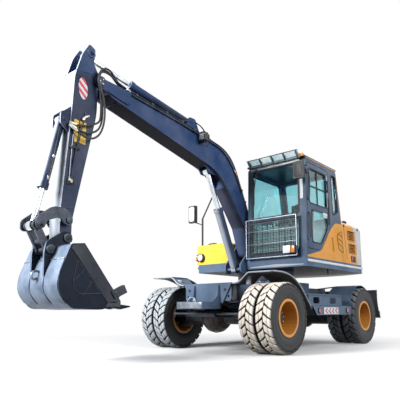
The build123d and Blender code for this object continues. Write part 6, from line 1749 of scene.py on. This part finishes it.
class SetStage(Undoable, bpy.types.Operator):
    """Places the camera, the pale floor, the white surround and the soft lamps."""

    bl_idname = "excavator.set_stage"
    bl_label = "Stage"

    def execute(self, context):
        scene = bpy.context.scene
        data = bpy.data.cameras.new("camera")
        data.lens, data.shift_x, data.shift_y = CAMERA_LENS
        camera = bpy.data.objects.new("camera", data)
        camera.matrix_world = Matrix.Translation(CAMERA_PLACE)
        for axis, degrees in CAMERA_TURNS:
            camera.matrix_world = camera.matrix_world @ Matrix.Rotation(math.radians(degrees), 4, axis)
        scene.collection.objects.link(camera)
        scene.camera = camera
        deselect()
        bpy.ops.mesh.primitive_grid_add(x_subdivisions=12, y_subdivisions=12, size=80)
        floor = keep(bpy.context.object, "floor", edge=0)
        floor.data.materials.append(self.floor_finish())
        self.surround(scene)
        for name, place, aim, size, power in LAMPS:
            lamp = bpy.data.lights.new(name, "AREA")
            lamp.size, lamp.energy = size, power
            light = bpy.data.objects.new(name, lamp)
            turn = (Vector(aim) - Vector(place)).to_track_quat("-Z", "Y")
            light.matrix_world = Matrix.Translation(place) @ turn.to_matrix().to_4x4()
            scene.collection.objects.link(light)
        scene.view_settings.view_transform = "Standard"
        return {"FINISHED"}

    def floor_finish(self):
        """Matt white studio floor, which fades to the surround's white well away from the machine."""
        material, tree, shader, place = start_material("studio_floor")
        shader.inputs["Roughness"].default_value = 0.9
        # Faint roller marks in the paint, about 300 mm long
        marks = noise(tree, place, 3.0, 4.0)
        tone = ramp(tree, marks, "Fac", [(0.3, linear("#F3F3F3")), (0.7, linear("#FAFAFA"))])
        # What the floor throws back up under the machine is held down, as a real floor's dirt would
        shown = self.shown_rays(tree)
        paint(tree, shader, mixed(tree, shown, "Value", linear("#6E6E70"), tone))
        distance = add(tree, "ShaderNodeVectorMath", [(0, place, "Object")], operation="LENGTH")
        far = add(tree, "ShaderNodeMapRange", [("Value", distance, "Value")], From_Min=1.6, From_Max=4.6)
        glow = add(tree, "ShaderNodeEmission", [("Strength", shown, "Value")])
        mix = add(tree, "ShaderNodeMixShader", [("Fac", far, "Result"), (1, shader, "BSDF"), (2, glow, "Emission")])
        out = [node for node in tree.nodes if node.bl_idname == "ShaderNodeOutputMaterial"][0]
        tree.links.new(mix.outputs["Shader"], out.inputs["Surface"])
        return material

    def shown_rays(self, tree):
        """1 for what is seen, mirrored or looked through, and 0 for light that only bounces."""
        ray = add(tree, "ShaderNodeLightPath")
        seen = add(
            tree, "ShaderNodeMath", [(0, ray, "Is Camera Ray"), (1, ray, "Is Glossy Ray")], operation="MAXIMUM"
        )
        return add(tree, "ShaderNodeMath", [(0, seen, "Value"), (1, ray, "Is Transmission Ray")], operation="MAXIMUM")

    def surround(self, scene):
        """White where it is seen, mirrored or looked through, and a softer light on everything else."""
        world = bpy.data.worlds.new("surround")
        scene.world = world
        world.use_nodes = True
        tree = world.node_tree
        tree.nodes.clear()
        shown = self.shown_rays(tree)
        soft = add(tree, "ShaderNodeBackground", Color=linear("#DCE6F4"), Strength=0.22)
        white = add(tree, "ShaderNodeBackground", Color=(1, 1, 1, 1), Strength=1.0)
        mix = add(
            tree, "ShaderNodeMixShader", [("Fac", shown, "Value"), (1, soft, "Background"), (2, white, "Background")]
        )
        add(tree, "ShaderNodeOutputWorld", [("Surface", mix, "Shader")])


# ---- The panel ---------------------------------------------------------------------------------------------
STEPS = (
    SetStage,
    FinishFrame,
    MakeTyres,
    MakeWheelNuts,
    LayBoomPipes,
    MakeBoomLamp,
    TrimBoom,
    HangArmHoses,
    TrimArm,
    TrimBucket,
    TrimCab,
    TrimDoor,
    MakeSeat,
    MakeControls,
    MakeGuard,
    TrimHouse,
    TrimMirrors,
    TrimChassis,
    TrimBlade,
)


class ExcavatorPanel(bpy.types.Panel):
    """Lists the steps that dress the excavator, with its sizes and colours."""

    bl_idname = "VIEW3D_PT_excavator"
    bl_label = "Excavator"
    bl_space_type = "VIEW_3D"
    bl_region_type = "UI"
    bl_category = "Excavator"

    def draw(self, context):
        layout = self.layout
        for group in (context.scene.excavator_sizes, context.scene.excavator_colours):
            for name in group.bl_rna.properties.keys():
                if name not in ("rna_type", "name"):
                    layout.prop(group, name)
        for step in STEPS:
            layout.operator(step.bl_idname)


CLASSES = (ExcavatorColours, ExcavatorSizes, *STEPS, ExcavatorPanel)


def register():
    """Makes the settings, the steps and the panel known to Blender."""
    for item in CLASSES:
        bpy.utils.register_class(item)
    bpy.types.Scene.excavator_colours = PointerProperty(type=ExcavatorColours)
    bpy.types.Scene.excavator_sizes = PointerProperty(type=ExcavatorSizes)


def unregister():
    """Takes them away again."""
    del bpy.types.Scene.excavator_sizes
    del bpy.types.Scene.excavator_colours
    for item in reversed(CLASSES):
        bpy.utils.unregister_class(item)


def main():
    """Dresses the machine step by step."""
    register()
    for step in STEPS:
        group, name = step.bl_idname.split(".")
        getattr(getattr(bpy.ops, group), name)()


if __name__ == "__main__":
    main()
